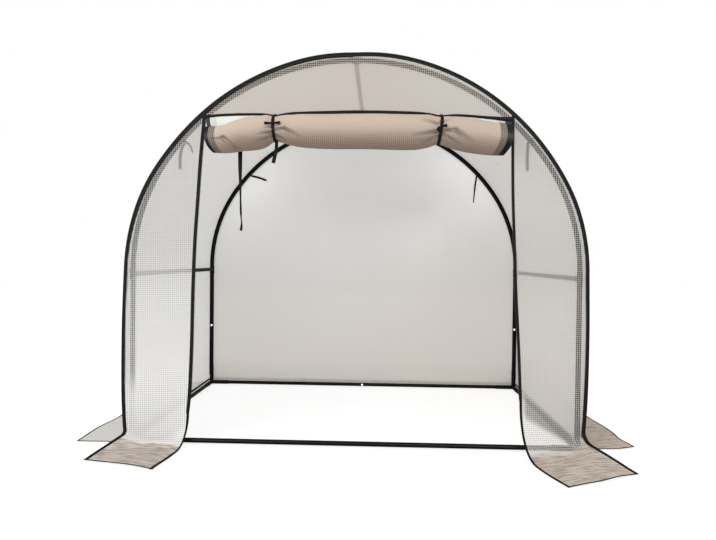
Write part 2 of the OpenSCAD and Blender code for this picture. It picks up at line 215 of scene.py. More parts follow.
def makeMeshFilm(s):
    # clear film over a light scrim, by its marks: warm tint (also painted shade), lying on the ground
    # (painted shade), dense film, lit face (painted light), a dark band of painted shadow, matt face, and the
    # contrast of the scrim
    f = Finish("meshFilm")
    cut = f.cutSpot()
    threads = f.threadGrid(cut, s["pitch"], s["thread"]) * f.mark("scrim")
    warm, lying, dense = f.mark("warm"), f.mark("lying"), f.mark("dense")
    lit, paintedShadow, matt = f.mark("lit"), f.mark("paintedShadow"), f.mark("matt")
    cloud = f.noise(cut, 5.0, 3.0)
    # the lit mark mixes the film towards near white: painted light
    light = f.mixColour(lit, f.mixColour(warm, s["cool"], s["warm"]), s["lit"])
    # film that lies on the ground is given a darker colour: painted shade
    light = f.mixColour(lying, light, f.mixColour(warm, s["coolGround"], s["warmGround"]))
    colour = f.mixColour(cloud * 0.18, light, f.mixColour(lying, grey(0.50, 0.08), grey(0.22, 0.25)))
    # the dark band on the right front panel: painted shadow
    colour = f.mixColour(paintedShadow, colour, s["paintedShadow"])
    # thread colour; the threads turn darker where the lit mark is: painted shade of backlit threads
    shade = f.mixColour(lit, grey(0.70, 0.10), grey(0.30, 0.06))
    shade = f.mixColour(lying, shade, grey(0.62, 0.30))
    shade = f.mixColour(paintedShadow, shade, grey(0.40, 0.10))
    colour = f.mixColour(threads * (0.12 + 0.35 * lying + 0.80 * lit + 0.70 * paintedShadow), colour, shade)
    # lighter and darker streaks on the film that lies on the ground: painted sheen and painted shade of its
    # crumples
    crumpleShading = f.noise(f.stretched(cut, (0.40, 2.0, 1.0)), 30.0, 4.0, 0.60)
    colour = f.mixColour(f.ramp(crumpleShading, 0.52, 0.60) * lying * 0.46, colour, grey(0.56, 0.28))
    colour = f.mixColour(f.ramp(crumpleShading, 0.50, 0.42) * lying * 0.68, colour, grey(0.13, 0.30))
    alpha = s["windowAlpha"] + (s["denseAlpha"] - s["windowAlpha"]) * dense
    for share, key in ((threads, "threadAlpha"), (lying, "lyingAlpha"), (paintedShadow, "paintedShadowAlpha")):
        alpha = alpha + (s[key] - alpha) * share
    wrinkle = f.noise(f.stretched(cut, (1.0, 0.55, 1.0)), 7.0, 3.0, 0.45)
    crumple = f.noise(f.stretched(cut, (1.6, 0.8, 1.0)), 19.0, 4.0, 0.55) * lying
    rough = s["rough"] + 0.08 * cloud + s["mattRough"] * matt
    front = f.principled({"Base Color": colour, "Roughness": rough,
                          "Normal": f.bump(0.25 * wrinkle + 1.6 * crumple + 0.02 * threads, 0.4, 0.012),
                          "Specular IOR Level": 0.45})
    glow = f.value("ShaderNodeBsdfTranslucent", None, {"Color": s["glow"]})
    solid = f.mixShader((s["through"] - 0.42 * lying - 0.40 * lit) * (1.0 - 0.8 * paintedShadow), front, glow)
    return f.close(f.mixShader(alpha, f.value("ShaderNodeBsdfTransparent"), solid))


# the top and under colours paint the roll lighter on top and darker underneath, painted shade; the darkest
# tan is painted shade in its folds
rolledSet = {"pitch": 0.010, "thread": 0.26, "meshWide": (0.068, 0.060), "zipWide": (0.033, 0.030),
             "top": (0.482, 0.386, 0.310, 1), "under": (0.136, 0.090, 0.064, 1),
             "cloudTop": (0.40, 0.32, 0.26, 1), "cloudUnder": (0.17, 0.13, 0.11, 1),
             "threads": (0.66, 0.56, 0.48, 1), "creaseShadow": (0.085, 0.060, 0.048, 1),
             "single": (0.66, 0.66, 0.63, 1), "mesh": (0.045, 0.040, 0.036, 1),
             "zip": (0.003, 0.003, 0.003, 1)}


def makeRolledFilm(s):
    # marks: the roll's underside (painted shade), the one layer that hangs from the header, creases (painted
    # shade), and the distance in metres from the door's nearer side edge
    f = Finish("rolledFilm")
    cut = f.cutSpot()
    threads = f.threadGrid(cut, s["pitch"], s["thread"])
    under, single, creaseShadow, edge = (f.mark(key) for key in ("under", "single", "creaseShadow", "edge"))
    cloud = f.noise(cut, 9.0, 4.0)
    # darker towards the underside: painted shade
    colour = f.mixColour(under, s["top"], s["under"])
    colour = f.mixColour(cloud * 0.3, colour, f.mixColour(under, s["cloudTop"], s["cloudUnder"]))
    colour = f.mixColour(threads * 0.24, colour, s["threads"])
    # darker in the folds: painted shade
    colour = f.mixColour(creaseShadow, colour, s["creaseShadow"])
    colour = f.mixColour(single, colour, s["single"])
    meshBand = f.ramp(edge, *s["meshWide"]) * (1.0 - 0.7 * single)
    colour = f.mixColour(meshBand * (0.90 - 0.45 * threads), colour, s["mesh"])
    colour = f.mixColour(f.ramp(edge, *s["zipWide"]), colour, s["zip"])
    wrinkle = f.noise(f.stretched(cut, (0.6, 1.6, 1.0)), 16.0, 4.0)
    return f.close(f.principled({"Base Color": colour, "Roughness": 0.5 + 0.15 * cloud,
                                 "Normal": f.bump(wrinkle + 0.04 * threads, 0.5, 0.006),
                                 "Specular IOR Level": 0.08}))


def makeWovenTape(weave=0.0017):
    f = Finish("wovenTape")
    cut = f.cutSpot()
    parts = f.node("ShaderNodeSeparateXYZ", None, {0: cut})
    warp, weft = ((Val(f, parts.outputs[axis]) * (math.tau / weave)).math("SINE") for axis in (0, 1))
    cloud = f.noise(cut, 45.0, 3.0)
    colour = f.mixColour(cloud, grey(0.002), grey(0.006, 0.06))
    return f.close(f.principled({"Base Color": colour, "Roughness": 0.62 + 0.15 * cloud,
                                 "Normal": f.bump(warp * weft, 0.4, 0.0004), "Specular IOR Level": 0.04}))


def makeThread():
    f = Finish("sewingThread")
    cloud = f.noise(f.objectSpot(), 500.0, 2.0)
    colour = f.mixColour(cloud, grey(0.005), grey(0.014, 0.05))
    return f.close(f.principled({"Base Color": colour, "Roughness": 0.55 + 0.2 * cloud,
                                 "Specular IOR Level": 0.15}))


def makeFloor():
    f = Finish("paleFloor")
    cloud = f.noise(f.objectSpot(), 1.5, 3.0)
    colour = f.mixColour(cloud, grey(0.29), grey(0.31))
    return f.close(f.principled({"Base Color": colour, "Roughness": 0.9, "Specular IOR Level": 0.0,
                                 "Emission Color": (1, 1, 1, 1), "Emission Strength": 0.76}))


powderBlack = makePowderBlack()
zincSteel = makeZincSteel()
meshFilm = makeMeshFilm(filmSet)
rolledFilm = makeRolledFilm(rolledSet)
wovenTape = makeWovenTape()
sewingThread = makeThread()
print("finishes made")


# shape helpers, and the gaps in metres that they keep
weldGap = 0.00002
bandGap = 0.004
seamGap = 0.004
knotSteps = 30


def archHalf(off, legSteps=38, bendSteps=22, crownSteps=40):
    # right half of the hoop, off metres outside its centre line: x, z and outward normal, ground to crown
    places = [(hoop["legX"] + off, hoop["legH"] * i / legSteps, 1.0, 0.0) for i in range(legSteps)]
    for i in range(bendSteps):
        a = hoop["bendTurn"] * i / bendSteps
        r = hoop["bendR"] + off
        nx, nz = math.cos(a), math.sin(a)
        places.append((hoop["bendX"] + r * nx, hoop["legH"] + r * nz, nx, nz))
    for i in range(crownSteps + 1):
        a = hoop["bendTurn"] + hoop["crownTurn"] * i / crownSteps
        r = hoop["crownR"] + off
        places.append((r * math.cos(a), hoop["crownZ"] + r * math.sin(a), math.cos(a), math.sin(a)))
    return places


def archX(z, off):
    # half width of the hoop's outline at height z
    if z <= hoop["legH"]:
        return hoop["legX"] + off
    jointZ = hoop["legH"] + (hoop["bendR"] + off) * math.sin(hoop["bendTurn"])
    if z <= jointZ:
        r = hoop["bendR"] + off
        return hoop["bendX"] + math.sqrt(r * r - (z - hoop["legH"]) ** 2)
    r = hoop["crownR"] + off
    return math.sqrt(max(r * r - (z - hoop["crownZ"]) ** 2, 0.0))


def archGap(x, z):
    # how far inside the sewn edge of an end panel a place lies
    x = abs(x)
    if z <= hoop["legH"]:
        return hoop["legX"] + hoop["seamOff"] - x
    if math.atan2(z - hoop["crownZ"], x) > hoop["bendTurn"]:
        return hoop["crownR"] + hoop["seamOff"] - math.hypot(x, z - hoop["crownZ"])
    return hoop["bendR"] + hoop["seamOff"] - math.hypot(x - hoop["bendX"], z - hoop["legH"])


def throughKeys(keys):
    # smooth function through (place, value) keys, level beyond its ends
    at = [k[0] for k in keys]
    values = [k[1] for k in keys]
    last = len(keys) - 1
    slopes = []
    for i in range(last + 1):
        low, high = max(i - 1, 0), min(i + 1, last)
        slopes.append((values[high] - values[low]) / (at[high] - at[low]))

    def value(x):
        if x <= at[0]:
            return values[0]
        if x >= at[last]:
            return values[last]
        i = max(j for j in range(last) if at[j] <= x)
        h = at[i + 1] - at[i]
        t = (x - at[i]) / h
        return ((2 * t ** 3 - 3 * t * t + 1) * values[i] + (t ** 3 - 2 * t * t + t) * h * slopes[i]
                + (3 * t * t - 2 * t ** 3) * values[i + 1] + (t ** 3 - t * t) * h * slopes[i + 1])
    return value


# how far the front edge hangs loose outside the hoop: by metres below the bend, then by radians up the arch
looseLeft = throughKeys([
    (-0.90, 0.006), (-0.82, 0.018), (-0.62, 0.026), (-0.30, 0.025), (-0.10, 0.019), (0.12, 0.011),
    (0.35, 0.006), (0.60, -0.002), (0.90, 0.001), (1.15, 0.005), (1.38, 0.010), (1.5708, 0.008)])
looseRight = throughKeys([
    (-0.90, 0.000), (-0.82, 0.008), (-0.62, 0.018), (-0.30, 0.021), (0.0, 0.016), (0.30, 0.013),
    (0.48, 0.008), (0.70, 0.010), (1.0, 0.014), (1.25, 0.016), (1.42, 0.015), (1.5708, 0.008)])


def frontLoose(x, z):
    place = z - hoop["legH"] if z <= hoop["legH"] else math.atan2(z - hoop["legH"], abs(x))
    return looseLeft(place) if x < 0 else looseRight(place)


def looseHalf(sign, off, **steps):
    # one half of the front edge, ground to crown
    places = []
    for x, z, nx, nz in archHalf(off, **steps):
        e = frontLoose(sign * x, z)
        places.append((x + nx * e, z + nz * e, nx, nz))
    return places


def looseHalves(off):
    return [looseHalf(sign, off) for sign in (-1, 1)]


def seamX(sign, z):
    # half width of the front edge at height z
    return archX(z, hoop["seamOff"] + frontLoose(sign * archX(z, hoop["seamOff"]), z))


def lerp(a, b, t):
    return a + (b - a) * t


def ease(t):
    t = min(max(t, 0.0), 1.0)
    return t * t * (3 - 2 * t)


def rise(value, start, long):
    return ease((value - start) / long)


def fall(value, end, long):
    return ease((end - value) / long)


def runs(points):
    # the length along the points up to each of them
    lengths = [0.0]
    for p, q in zip(points, points[1:]):
        lengths.append(lengths[-1] + (q - p).length)
    return lengths


def tangents(route):
    last = len(route) - 1
    return [(route[min(i + 1, last)] - route[max(i - 1, 0)]).normalized() for i in range(last + 1)]


def smoothRoute(places, count):
    # count evenly spaced points on one smooth curve through the places
    knots = [Vector(p) for p in places]
    ends = [2 * knots[0] - knots[1]] + knots + [2 * knots[-1] - knots[-2]]
    dense = []
    for i in range(1, len(ends) - 2):
        a, b, c, d = ends[i - 1:i + 3]
        for k in range(knotSteps):
            t = k / knotSteps
            dense.append(0.5 * (2 * b + (c - a) * t + (2 * a - 5 * b + 4 * c - d) * t * t
                                + (3 * b - a - 3 * c + d) * t ** 3))
    dense.append(knots[-1])
    run = runs(dense)
    route, j = [], 0
    for i in range(count):
        want = run[-1] * i / (count - 1)
        while j < len(run) - 2 and run[j + 1] < want:
            j += 1
        route.append(dense[j].lerp(dense[j + 1], min((want - run[j]) / (run[j + 1] - run[j]), 1.0)))
    return route


def linkMesh(name, mesh):
    data = bpy.data.meshes.new(name)
    mesh.to_mesh(data)
    mesh.free()
    piece = bpy.data.objects.new(name, data)
    bpy.context.collection.objects.link(piece)
    return piece


def gridSheet(name, rows, cuts, marks=None, flip=False):
    # a sheet from rows of points, its cut pattern in metres, and marks for its finish
    mesh = bmesh.new()
    cutLayer = mesh.loops.layers.uv.new("cut")
    for key in marks or {}:
        mesh.verts.layers.float.new(key)
    verts = [[mesh.verts.new(p) for p in row] for row in rows]
    for key, table in (marks or {}).items():
        layer = mesh.verts.layers.float[key]
        for vertRow, row in zip(verts, table):
            for vert, value in zip(vertRow, row):
                vert[layer] = value
    for i in range(len(rows) - 1):
        for j in range(len(rows[0]) - 1):
            corners = [(i, j), (i, j + 1), (i + 1, j + 1), (i + 1, j)]
            if flip:
                corners.reverse()
            face = mesh.faces.new([verts[a][b] for a, b in corners])
            face.smooth = True
            for loop, (a, b) in zip(face.loops, corners):
                loop[cutLayer].uv = cuts[a][b]
    bmesh.ops.remove_doubles(mesh, verts=mesh.verts, dist=weldGap)
    return linkMesh(name, mesh)


def dress(piece, material, slot, *nodes):
    piece.data.materials.clear()
    piece.data.materials.append(material)
    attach(piece, "root")
    if nodes:
        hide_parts(*nodes)


def ribbon(name, route, acrosses, width, thick, start=None):
    # closed flat band along a route: across points over its width from start, or about its middle
    mesh = bmesh.new()
    cutLayer = mesh.loops.layers.uv.new("cut")
    profile = [(0.0, 0.0), (0.12, 0.5), (0.88, 0.5), (1.0, 0.0), (0.88, -0.5), (0.12, -0.5)]
    sides = len(profile)
    rings = []
    for i, (p, tangent, run) in enumerate(zip(route, tangents(route), runs(route))):
        across = (acrosses[i] - tangent * acrosses[i].dot(tangent)).normalized()
        normal = across.cross(tangent)
        w = width(i / (len(route) - 1)) if callable(width) else width
        first = -w / 2 if start is None else start
        ring = [mesh.verts.new(p + across * (first + w * a) + normal * (thick * n)) for a, n in profile]
        rings.append((ring, [(run, w * a) for a, n in profile]))
    for (ringA, spotsA), (ringB, spotsB) in zip(rings, rings[1:]):
        for k in range(sides):
            n = (k + 1) % sides
            face = mesh.faces.new((ringA[k], ringA[n], ringB[n], ringB[k]))
            face.smooth = True
            for loop, uv in zip(face.loops, (spotsA[k], spotsA[n], spotsB[n], spotsB[k])):
                loop[cutLayer].uv = uv
    mesh.faces.new(list(reversed(rings[0][0])))
    mesh.faces.new(rings[-1][0])
    bmesh.ops.recalc_face_normals(mesh, faces=mesh.faces)
    return linkMesh(name, mesh)


def joinPieces(name, pieces):
    mesh = bmesh.new()
    for piece in pieces:
        mesh.from_mesh(piece.data)
    joined = linkMesh(name, mesh)
    for piece in pieces:
        data = piece.data
        bpy.data.objects.remove(piece)
        bpy.data.meshes.remove(data)
    return joined


# cords: flat woven tapes, their routes repeated from the part's source
cordSet = {"tailThick": 0.0012, "strapWidth": 0.022, "strapThick": 0.0016, "tieTailWidth": 0.0195,
           "points": 28}
frontKnot = (0.8788, 1.5650)
rearKnot = (0.8516, 1.5952)
plainFace = Vector((1, 0, 0))
risingFace = Vector((0.30, 0.0, 0.95))


def flatCord(name, places, width, thick, twist, node, face=plainFace):
    # twist keys map the share of the way along to the turn of the tape about its own line, in degrees
    route = smoothRoute(places, cordSet["points"])
    turnAt = throughKeys(twist)
    acrosses = []
    for i, tangent in enumerate(tangents(route)):
        turn = Matrix.Rotation(math.radians(turnAt(i / (len(route) - 1))), 3, tangent)
        side = face - tangent * face.dot(tangent)
        acrosses.append(turn @ side.normalized())
    tape = ribbon(name, route, acrosses, width, thick)
    dress(tape, wovenTape, "black_tape", node)
    round(runs(route)[-1], 4)


strapX = -0.5986
strapPlaces = [
    (strapX, -0.7630, 1.7147), (strapX, -0.7630, 1.7007), (strapX, -0.7480, 1.6730),
    (strapX, -0.7318, 1.6432), (strapX, -0.7248, 1.6250), (strapX, -0.7224, 1.6062),
    (strapX, -0.7224, 1.5100), (strapX + 0.001, -0.7228, 1.4000), (strapX + 0.003, -0.7230, 1.3000),
    (strapX + 0.006, -0.7230, 1.2000), (strapX + 0.010, -0.7222, 1.1500),
    (strapX + 0.007, -0.7224, 1.1107)]
strapTwist = [
    (0.0, 0.0), (0.40, 0.0), (0.55, 32.0), (0.70, 52.0), (0.86, 48.0), (0.91, 66.0), (0.95, 46.0),
    (1.0, 40.0)]
flatCord("doorStrap", strapPlaces, cordSet["strapWidth"], cordSet["strapThick"], strapTwist, "door_strap")

tieTailX = -0.3920
tieTailPlaces = [
    (tieTailX, -0.8350, 1.5640), (tieTailX, -0.8230, 1.5510), (tieTailX - 0.001, -0.8130, 1.5360),
    (tieTailX - 0.005, -0.8060, 1.5100), (tieTailX - 0.012, -0.8040, 1.4800),
    (tieTailX - 0.019, -0.8030, 1.4510)]
flatCord("doorTieTail", tieTailPlaces, cordSet["tieTailWidth"], cordSet["strapThick"],
         [(0.0, 30.0), (0.3, 20.0), (1.0, 0.0)], "door_tie_tail")

# tails of the ties round the hoops; the steps are millimetres from the knot, to the right and up
tails = {
    "frontLeftTailA": {"knot": frontKnot, "side": -1, "y": -0.750, "width": 0.010, "node": "front_left_tails",
                       "steps": [(6.3, -2), (16, -8), (25, -19), (32, -34), (38, -52)],
                       "twist": [(0.0, 10.0), (1.0, 15.0)], "face": risingFace},
    "frontLeftTailB": {"knot": frontKnot, "side": -1, "y": -0.750, "width": 0.015, "node": "front_left_tails",
                       "steps": [(-3, -6.3), (-14, -22), (-23, -48), (-27, -80), (-27, -112), (-26, -140)],
                       "twist": [(0.0, 30.0), (0.4, 0.0), (1.0, 0.0)], "face": plainFace},
    "frontRightTail": {"knot": frontKnot, "side": 1, "y": -0.750, "width": 0.016, "node": "front_right_tail",
                       "steps": [(0, -6.3), (-1, -40), (-2, -75), (-1, -108), (0, -138)],
                       "twist": [(0.0, 0.0), (0.25, 0.0), (0.45, 35.0), (0.7, 10.0), (1.0, 0.0)],
                       "face": plainFace},
    "rearLeftTail": {"knot": rearKnot, "side": -1, "y": 0.750, "width": 0.015, "node": "rear_left_tail",
                     "steps": [(6.3, -1), (34, -7), (62, -15), (88, -24), (112, -33)],
                     "twist": [(0.0, 15.0), (0.6, 5.0), (1.0, 0.0)], "face": risingFace},
    "rearRightTailA": {"knot": rearKnot, "side": 1, "y": 0.7327, "width": 0.011, "node": "rear_right_tails",
                       "steps": [(8, 8), (22, 6), (38, -3), (52, -17), (61, -32)],
                       "twist": [(0.0, 10.0), (1.0, 20.0)], "face": risingFace},
    "rearRightTailB": {"knot": rearKnot, "side": 1, "y": 0.750, "width": 0.012, "node": "rear_right_tails",
                       "steps": [(0, -6.3), (-7, -50), (-12, -98), (-16, -144), (-20, -190)],
                       "twist": [(0.0, 0.0), (0.4, 5.0), (0.6, 45.0), (1.0, 60.0)], "face": plainFace},
}
for tailName, tail in tails.items():
    knotX, knotZ = tail["side"] * tail["knot"][0], tail["knot"][1]
    tailPlaces = [(knotX + dx / 1000, tail["y"], knotZ + dz / 1000) for dx, dz in tail["steps"]]
    flatCord(tailName, tailPlaces, tail["width"], cordSet["tailThick"], tail["twist"], tail["node"],
             tail["face"])
print("cords laid")


# main cover: one sheet from skirt to skirt
floorLift = 0.0012  # metres from the floor to a sheet that lies on it
coverSet = {"cutWidth": 1.532, "cutLength": 5.87, "sag": 0.007, "sagFrom": 0.05, "sagTo": 0.88,
            "bend": (0.024, 0.022), "ripple": 0.004, "columns": 84, "skirtSteps": 21, "bendSteps": 10,
            "flareFrom": -0.40, "shiftFrom": -0.30, "frontY": -0.76}
leftSkirtEdge = throughKeys([
    (-0.766, -1.436), (-0.494, -1.443), (-0.271, -1.432), (0.2, -1.441), (0.766, -1.437)])
rightSkirtEdge = throughKeys([
    (-0.766, 1.474), (-0.60, 1.457), (-0.42, 1.459), (-0.018, 1.441), (0.4, 1.441), (0.766, 1.444)])
rightSkirtShift = throughKeys([
    (0.0, 0.034), (0.25, 0.058), (0.7, 0.063), (1.0, 0.099)])


def coverSkirt(y, sign, flare, s):
    # from the skirt's edge in over the ground and round the bend to the foot of the wall
    wallX = hoop["legX"] + hoop["coverOff"]
    edge = abs(leftSkirtEdge(y) if sign < 0 else rightSkirtEdge(y))
    front = fall(y, s["shiftFrom"], s["shiftFrom"] - s["frontY"])
    bend = s["bend"][0 if sign < 0 else 1]
    footX = wallX + flare * frontLoose(sign * wallX, bend)
    points = []
    for i in range(s["skirtSteps"] + 1):
        t = 1 - i / s["skirtSteps"]
        reach = lerp(bend, edge - footX, t)
        wave = s["ripple"] * t * (1 + math.sin(9.5 * y + 1.7 * sign) * math.sin(3.7 * y + 0.6 + 5.0 * t))
        shift = front * (rightSkirtShift(t) if sign > 0 else -0.006 * t)
        points.append((Vector((sign * (footX + reach), y + shift, floorLift + wave)), 1.0))
    for i in range(1, s["bendSteps"]):
        t = i / s["bendSteps"]
        a = math.pi / 2 * t
        shift = front * rightSkirtShift(0.0) * (1 - t) if sign > 0 else 0.0
        points.append((Vector((sign * (footX + bend * (1 - math.sin(a))), y + shift,
                               floorLift + bend * (1 - math.cos(a)))), 1.0 - ease(t)))
    return points


def coverRow(y, s):
    # one profile of the cover at depth y: points, and how far each lies on the ground
    pinch = 1 - (y / hoop["planeY"]) ** 2
    flare = fall(y, s["flareFrom"], s["flareFrom"] - s["frontY"])

    def wall(sign):
        points = []
        for x, z, nx, nz in archHalf(hoop["coverOff"]):
            if z < s["sagTo"]:
                share = math.sin(math.pi * max(z - s["sagFrom"], 0.0) / (s["sagTo"] - s["sagFrom"]))
            else:
                share = math.sin(2 * math.atan2(nz, nx))
            out = flare * frontLoose(sign * x, z) - s["sag"] * pinch * max(share, 0.0)
            if z > s["bend"][0 if sign < 0 else 1] + seamGap:
                points.append((Vector((sign * (x + nx * out), y, z + nz * out)), 0.0))
        return points
    return coverSkirt(y, -1, flare, s) + wall(-1) + wall(1)[-2::-1] + coverSkirt(y, 1, flare, s)[::-1]


def sheetTables(rowData, lying, **looks):
    # rows and marks from rows of (point, lying) pairs; each look is a function of the place
    rows = [[p for p, lie in row] for row in rowData]
    marks = {"lying": [[lie * lying(p) for p, lie in row] for row in rowData]}
    for key, look in looks.items():
        marks[key] = [[look(p) for p in row] for row in rows]
    return rows, marks


def rightFoot(p):
    # 1 at the foot of the right wall, where its film is thick and where the cover is given painted light
    return fall(p.z, 0.42, 0.25) if p.x > 0 else 0.0


def makeCover(s):
    depths = [lerp(-hoop["endY"], hoop["endY"], j / s["columns"]) for j in range(s["columns"] + 1)]
    rows, marks = sheetTables([coverRow(y, s) for y in depths], lambda p: 0.25 if p.x < 0 else 0.92,
                              # warm: tanner and darker towards the right side, painted shade
                              warm=lambda p: 0.10 + (0.6 if p.z > 0.02 else 0.85) * rise(p.x, -0.3, 1.3),
                              dense=lambda p: lerp(0.52, 0.95, rightFoot(p)),
                              scrim=lambda p: 1.0 if p.z < 0.05 else 0.5,
                              # lit: painted light at the foot of the right wall
                              lit=lambda p: 0.30 * rightFoot(p) if p.z > 0.02 else 0.0,
                              matt=lambda p: fall(p.z, 0.05, 0.03))
    cuts = [[(run, y) for run in runs(row)] for row, y in zip(rows, depths)]
    cover = gridSheet("mainCover", rows, cuts, marks, flip=True)
    dress(cover, meshFilm, "mesh_film", "roof_sheet", "left_wall", "right_wall")
    return rows


coverRows = makeCover(coverSet)
print("main cover made")


# end panels: rear wall with its skirt, gable over the door, and the two front panels with their flaps
rearSet = {"cutWidth": 2.36, "cutHeight": 2.43, "cutArea": 5.25, "bend": 0.06, "reach": 0.425, "columns": 90,
           "skirtSteps": 19, "bendSteps": 10, "ripple": 0.004, "dent": 0.004, "dentTop": 1.9}


def rearLines(s):
    # lines across the rear panel from the skirt's edge to the crown: half width, y, z, how far it lies on
    # the ground, and its height in the cut pattern
    edge = hoop["legX"] + hoop["rearSeam"]
    lines = []
    for i in range(s["skirtSteps"] + 1):
        reach = lerp(s["bend"], s["reach"], 1 - i / s["skirtSteps"])
        lines.append((edge, hoop["endY"] + reach, floorLift, 1.0, -reach - 0.03))
    for i in range(1, s["bendSteps"]):
        t = i / s["bendSteps"]
        a = math.pi / 2 * t
        z = floorLift + s["bend"] * (1 - math.cos(a))
        lines.append((edge, hoop["endY"] + s["bend"] * (1 - math.sin(a)), z, 1 - ease(t), z - 0.05 * (1 - t)))
    for x, z, nx, nz in archHalf(hoop["rearSeam"]):
        if z > s["bend"] + seamGap:
            lines.append((x, hoop["endY"], z, 0.0, z))
    return lines


# painted light towards the foot of the rear panel, on its wall
def rearLit(p):
    if p.y > hoop["endY"] + 0.05:
        return 0.0
    return 0.34 * fall(p.z, 0.26, 0.22) + 0.36 * fall(p.z, 0.13, 0.12)


def makeRear(s):
    rowData, cuts = [], []
    for x, y, z, lie, cut in rearLines(s):
        row = []
        for k in range(s["columns"] + 1):
            t = 2 * k / s["columns"] - 1
            px = x * t
            wave = lie * s["ripple"] * (1 + math.sin(7 * px + 1.0) * math.sin(11 * y + 2.3 * px))
            dent = 0.0
            if lie == 0.0:
                dent = s["dent"] * math.sin(math.pi * min(z / s["dentTop"], 1.0)) * (1 - t * t)
            row.append((Vector((px, y + dent, z + wave * rise(y, hoop["endY"] + 0.05, 0.1))), lie))
        rowData.append(row)
        cuts.append([(p.x, cut) for p, lie in row])
    rows, marks = sheetTables(rowData, lambda p: 0.6,
                              # warm: darker and tanner towards the bottom and towards the right, painted
                              # shade
                              warm=lambda p: (0.10 + 0.40 * rise(p.x, -0.4, 1.2) * fall(p.z, 1.7, 0.7)
                                              + 0.72 * fall(p.z, 1.25, 1.0)),
                              dense=lambda p: lerp(0.66, 0.95, fall(p.z, 0.22, 0.15)), lit=rearLit,
                              scrim=lambda p: 1.0 if p.z < 0.05 else 0.35)
    rear = gridSheet("rearPanel", rows, cuts, marks, flip=True)
    dress(rear, meshFilm, "mesh_film", "rear_wall")
    return rows


rearRows = makeRear(rearSet)

# the door's header sags a little between its corners and dips at the two ties
headerLine = throughKeys([
    (-0.80, 1.690), (-0.762, 1.694), (-0.72, 1.699), (-0.674, 1.7025), (-0.58, 1.7055), (-0.487, 1.706),
    (-0.441, 1.7035), (-0.410, 1.6985), (-0.359, 1.708), (-0.302, 1.7125), (-0.118, 1.717),
    (0.02, 1.7195), (0.203, 1.7175), (0.34, 1.713), (0.386, 1.708), (0.434, 1.6985), (0.477, 1.7025),
    (0.522, 1.7035), (0.567, 1.701), (0.658, 1.6935), (0.748, 1.6855), (0.81, 1.681)])


def hoopBand(p):
    # 1 where an end panel lies over the hoop, and its film is stretched clear
    return fall(archGap(p.x, p.z), 0.054, 0.012)


gableSet = {"cutWidth": 1.62, "cutHeight": 0.313, "cutArea": 0.345, "columns": 72, "crownSteps": 64,
            "rows": 47, "fade": 0.16, "cornerFade": 0.04, "bulge": 0.004, "bulgeTop": 0.30}


def makeGable(s):
    edges = []
    for sign in (-1, 1):
        top = [(x, z) for x, z, nx, nz in looseHalf(sign, hoop["seamOff"], crownSteps=s["crownSteps"])]
        edges.append([(seamX(sign, hoop["doorH"]), hoop["doorH"])] + top[-s["rows"]:])
    rowData = []
    for (leftX, leftZ), (rightX, rightZ) in zip(*edges):
        row = []
        for k in range(s["columns"] + 1):
            t = 2 * k / s["columns"] - 1
            px = lerp(-leftX, rightX, k / s["columns"])
            z = lerp(leftZ, rightZ, k / s["columns"])
            above = z - hoop["doorH"]
            fade = max(1 - above / s["fade"], 0.0) * ease((1 - abs(t)) / s["cornerFade"])
            bulge = -s["bulge"] * math.sin(math.pi * min(above / s["bulgeTop"], 1.0)) * (1 - t * t)
            pz = z + (headerLine(px) - hoop["doorH"]) * fade
            row.append((Vector((px, -hoop["endY"] + bulge, pz)), 0.0))
        rowData.append(row)
    rows, marks = sheetTables(rowData, lambda p: 0.0, warm=lambda p: 0.95, matt=lambda p: 1.0,
                              scrim=lambda p: lerp(0.35, 0.9, hoopBand(p)),
                              # lit: painted light, more towards the right
                              lit=lambda p: 0.06 + 0.13 * rise(p.x, 0.1, 0.5),
                              dense=lambda p: lerp(0.50, -0.36, hoopBand(p)))
    gable = gridSheet("frontGable", rows, [[(p.x, p.z) for p in row] for row in rows], marks)
    dress(gable, meshFilm, "mesh_film", "front_gable")
    return rows


gableRows = makeGable(gableSet)

# each front panel hangs beside the door and its foot is spread on the ground as a flap
panelSet = {"columns": 46, "legSteps": 46, "bendSteps": 24, "lowFrom": 0.27, "lowSteps": 20, "turnSteps": 14,
            "flapSteps": 30, "floorLift": 0.0015, "belly": 0.006, "bellyTop": 1.7}
leftPanel = {"name": "frontLeftPanel", "node": "front_left_wall", "sign": -1,
             "doorEdge": [(0.0, 0.858), (0.10, 0.853), (0.229, 0.839), (0.489, 0.828), (0.80, 0.822),
                          (1.059, 0.813), (1.265, 0.800), (1.471, 0.787), (1.625, 0.774), (1.7007, 0.768)],
             "innerBend": 0.16, "outerBend": 0.020, "bendPower": 6.0,
             "innerCorner": (-0.885, -1.1725), "outerCorner": (-1.2535, -1.0685), "liftOuter": 0.046,
             "innerBow": 0.0, "outerBow": 0.012, "frontBow": -0.012,
             "waves": [(0.0022, 5.0, 17.0, 0.4), (0.0012, 21.0, 9.0, 1.1)],
             "warm": 0.05, "flapWarm": 0.25, "lying": 0.95, "lieFrom": 0.58, "lieDelay": 0.055,
             "denseLow": 0.90, "denseHigh": 0.20, "denseHoop": -0.30, "hoopFade": 0.42,
             # lit, litLow and litTop set painted light; the last key holds the lines of a painted shadow band
             "lit": 0.60, "litLow": 0.36, "litTop": 0.0, "shadowBand": None,
             "cutWidth": 0.44, "cutLength": 2.10, "cutArea": 0.68}
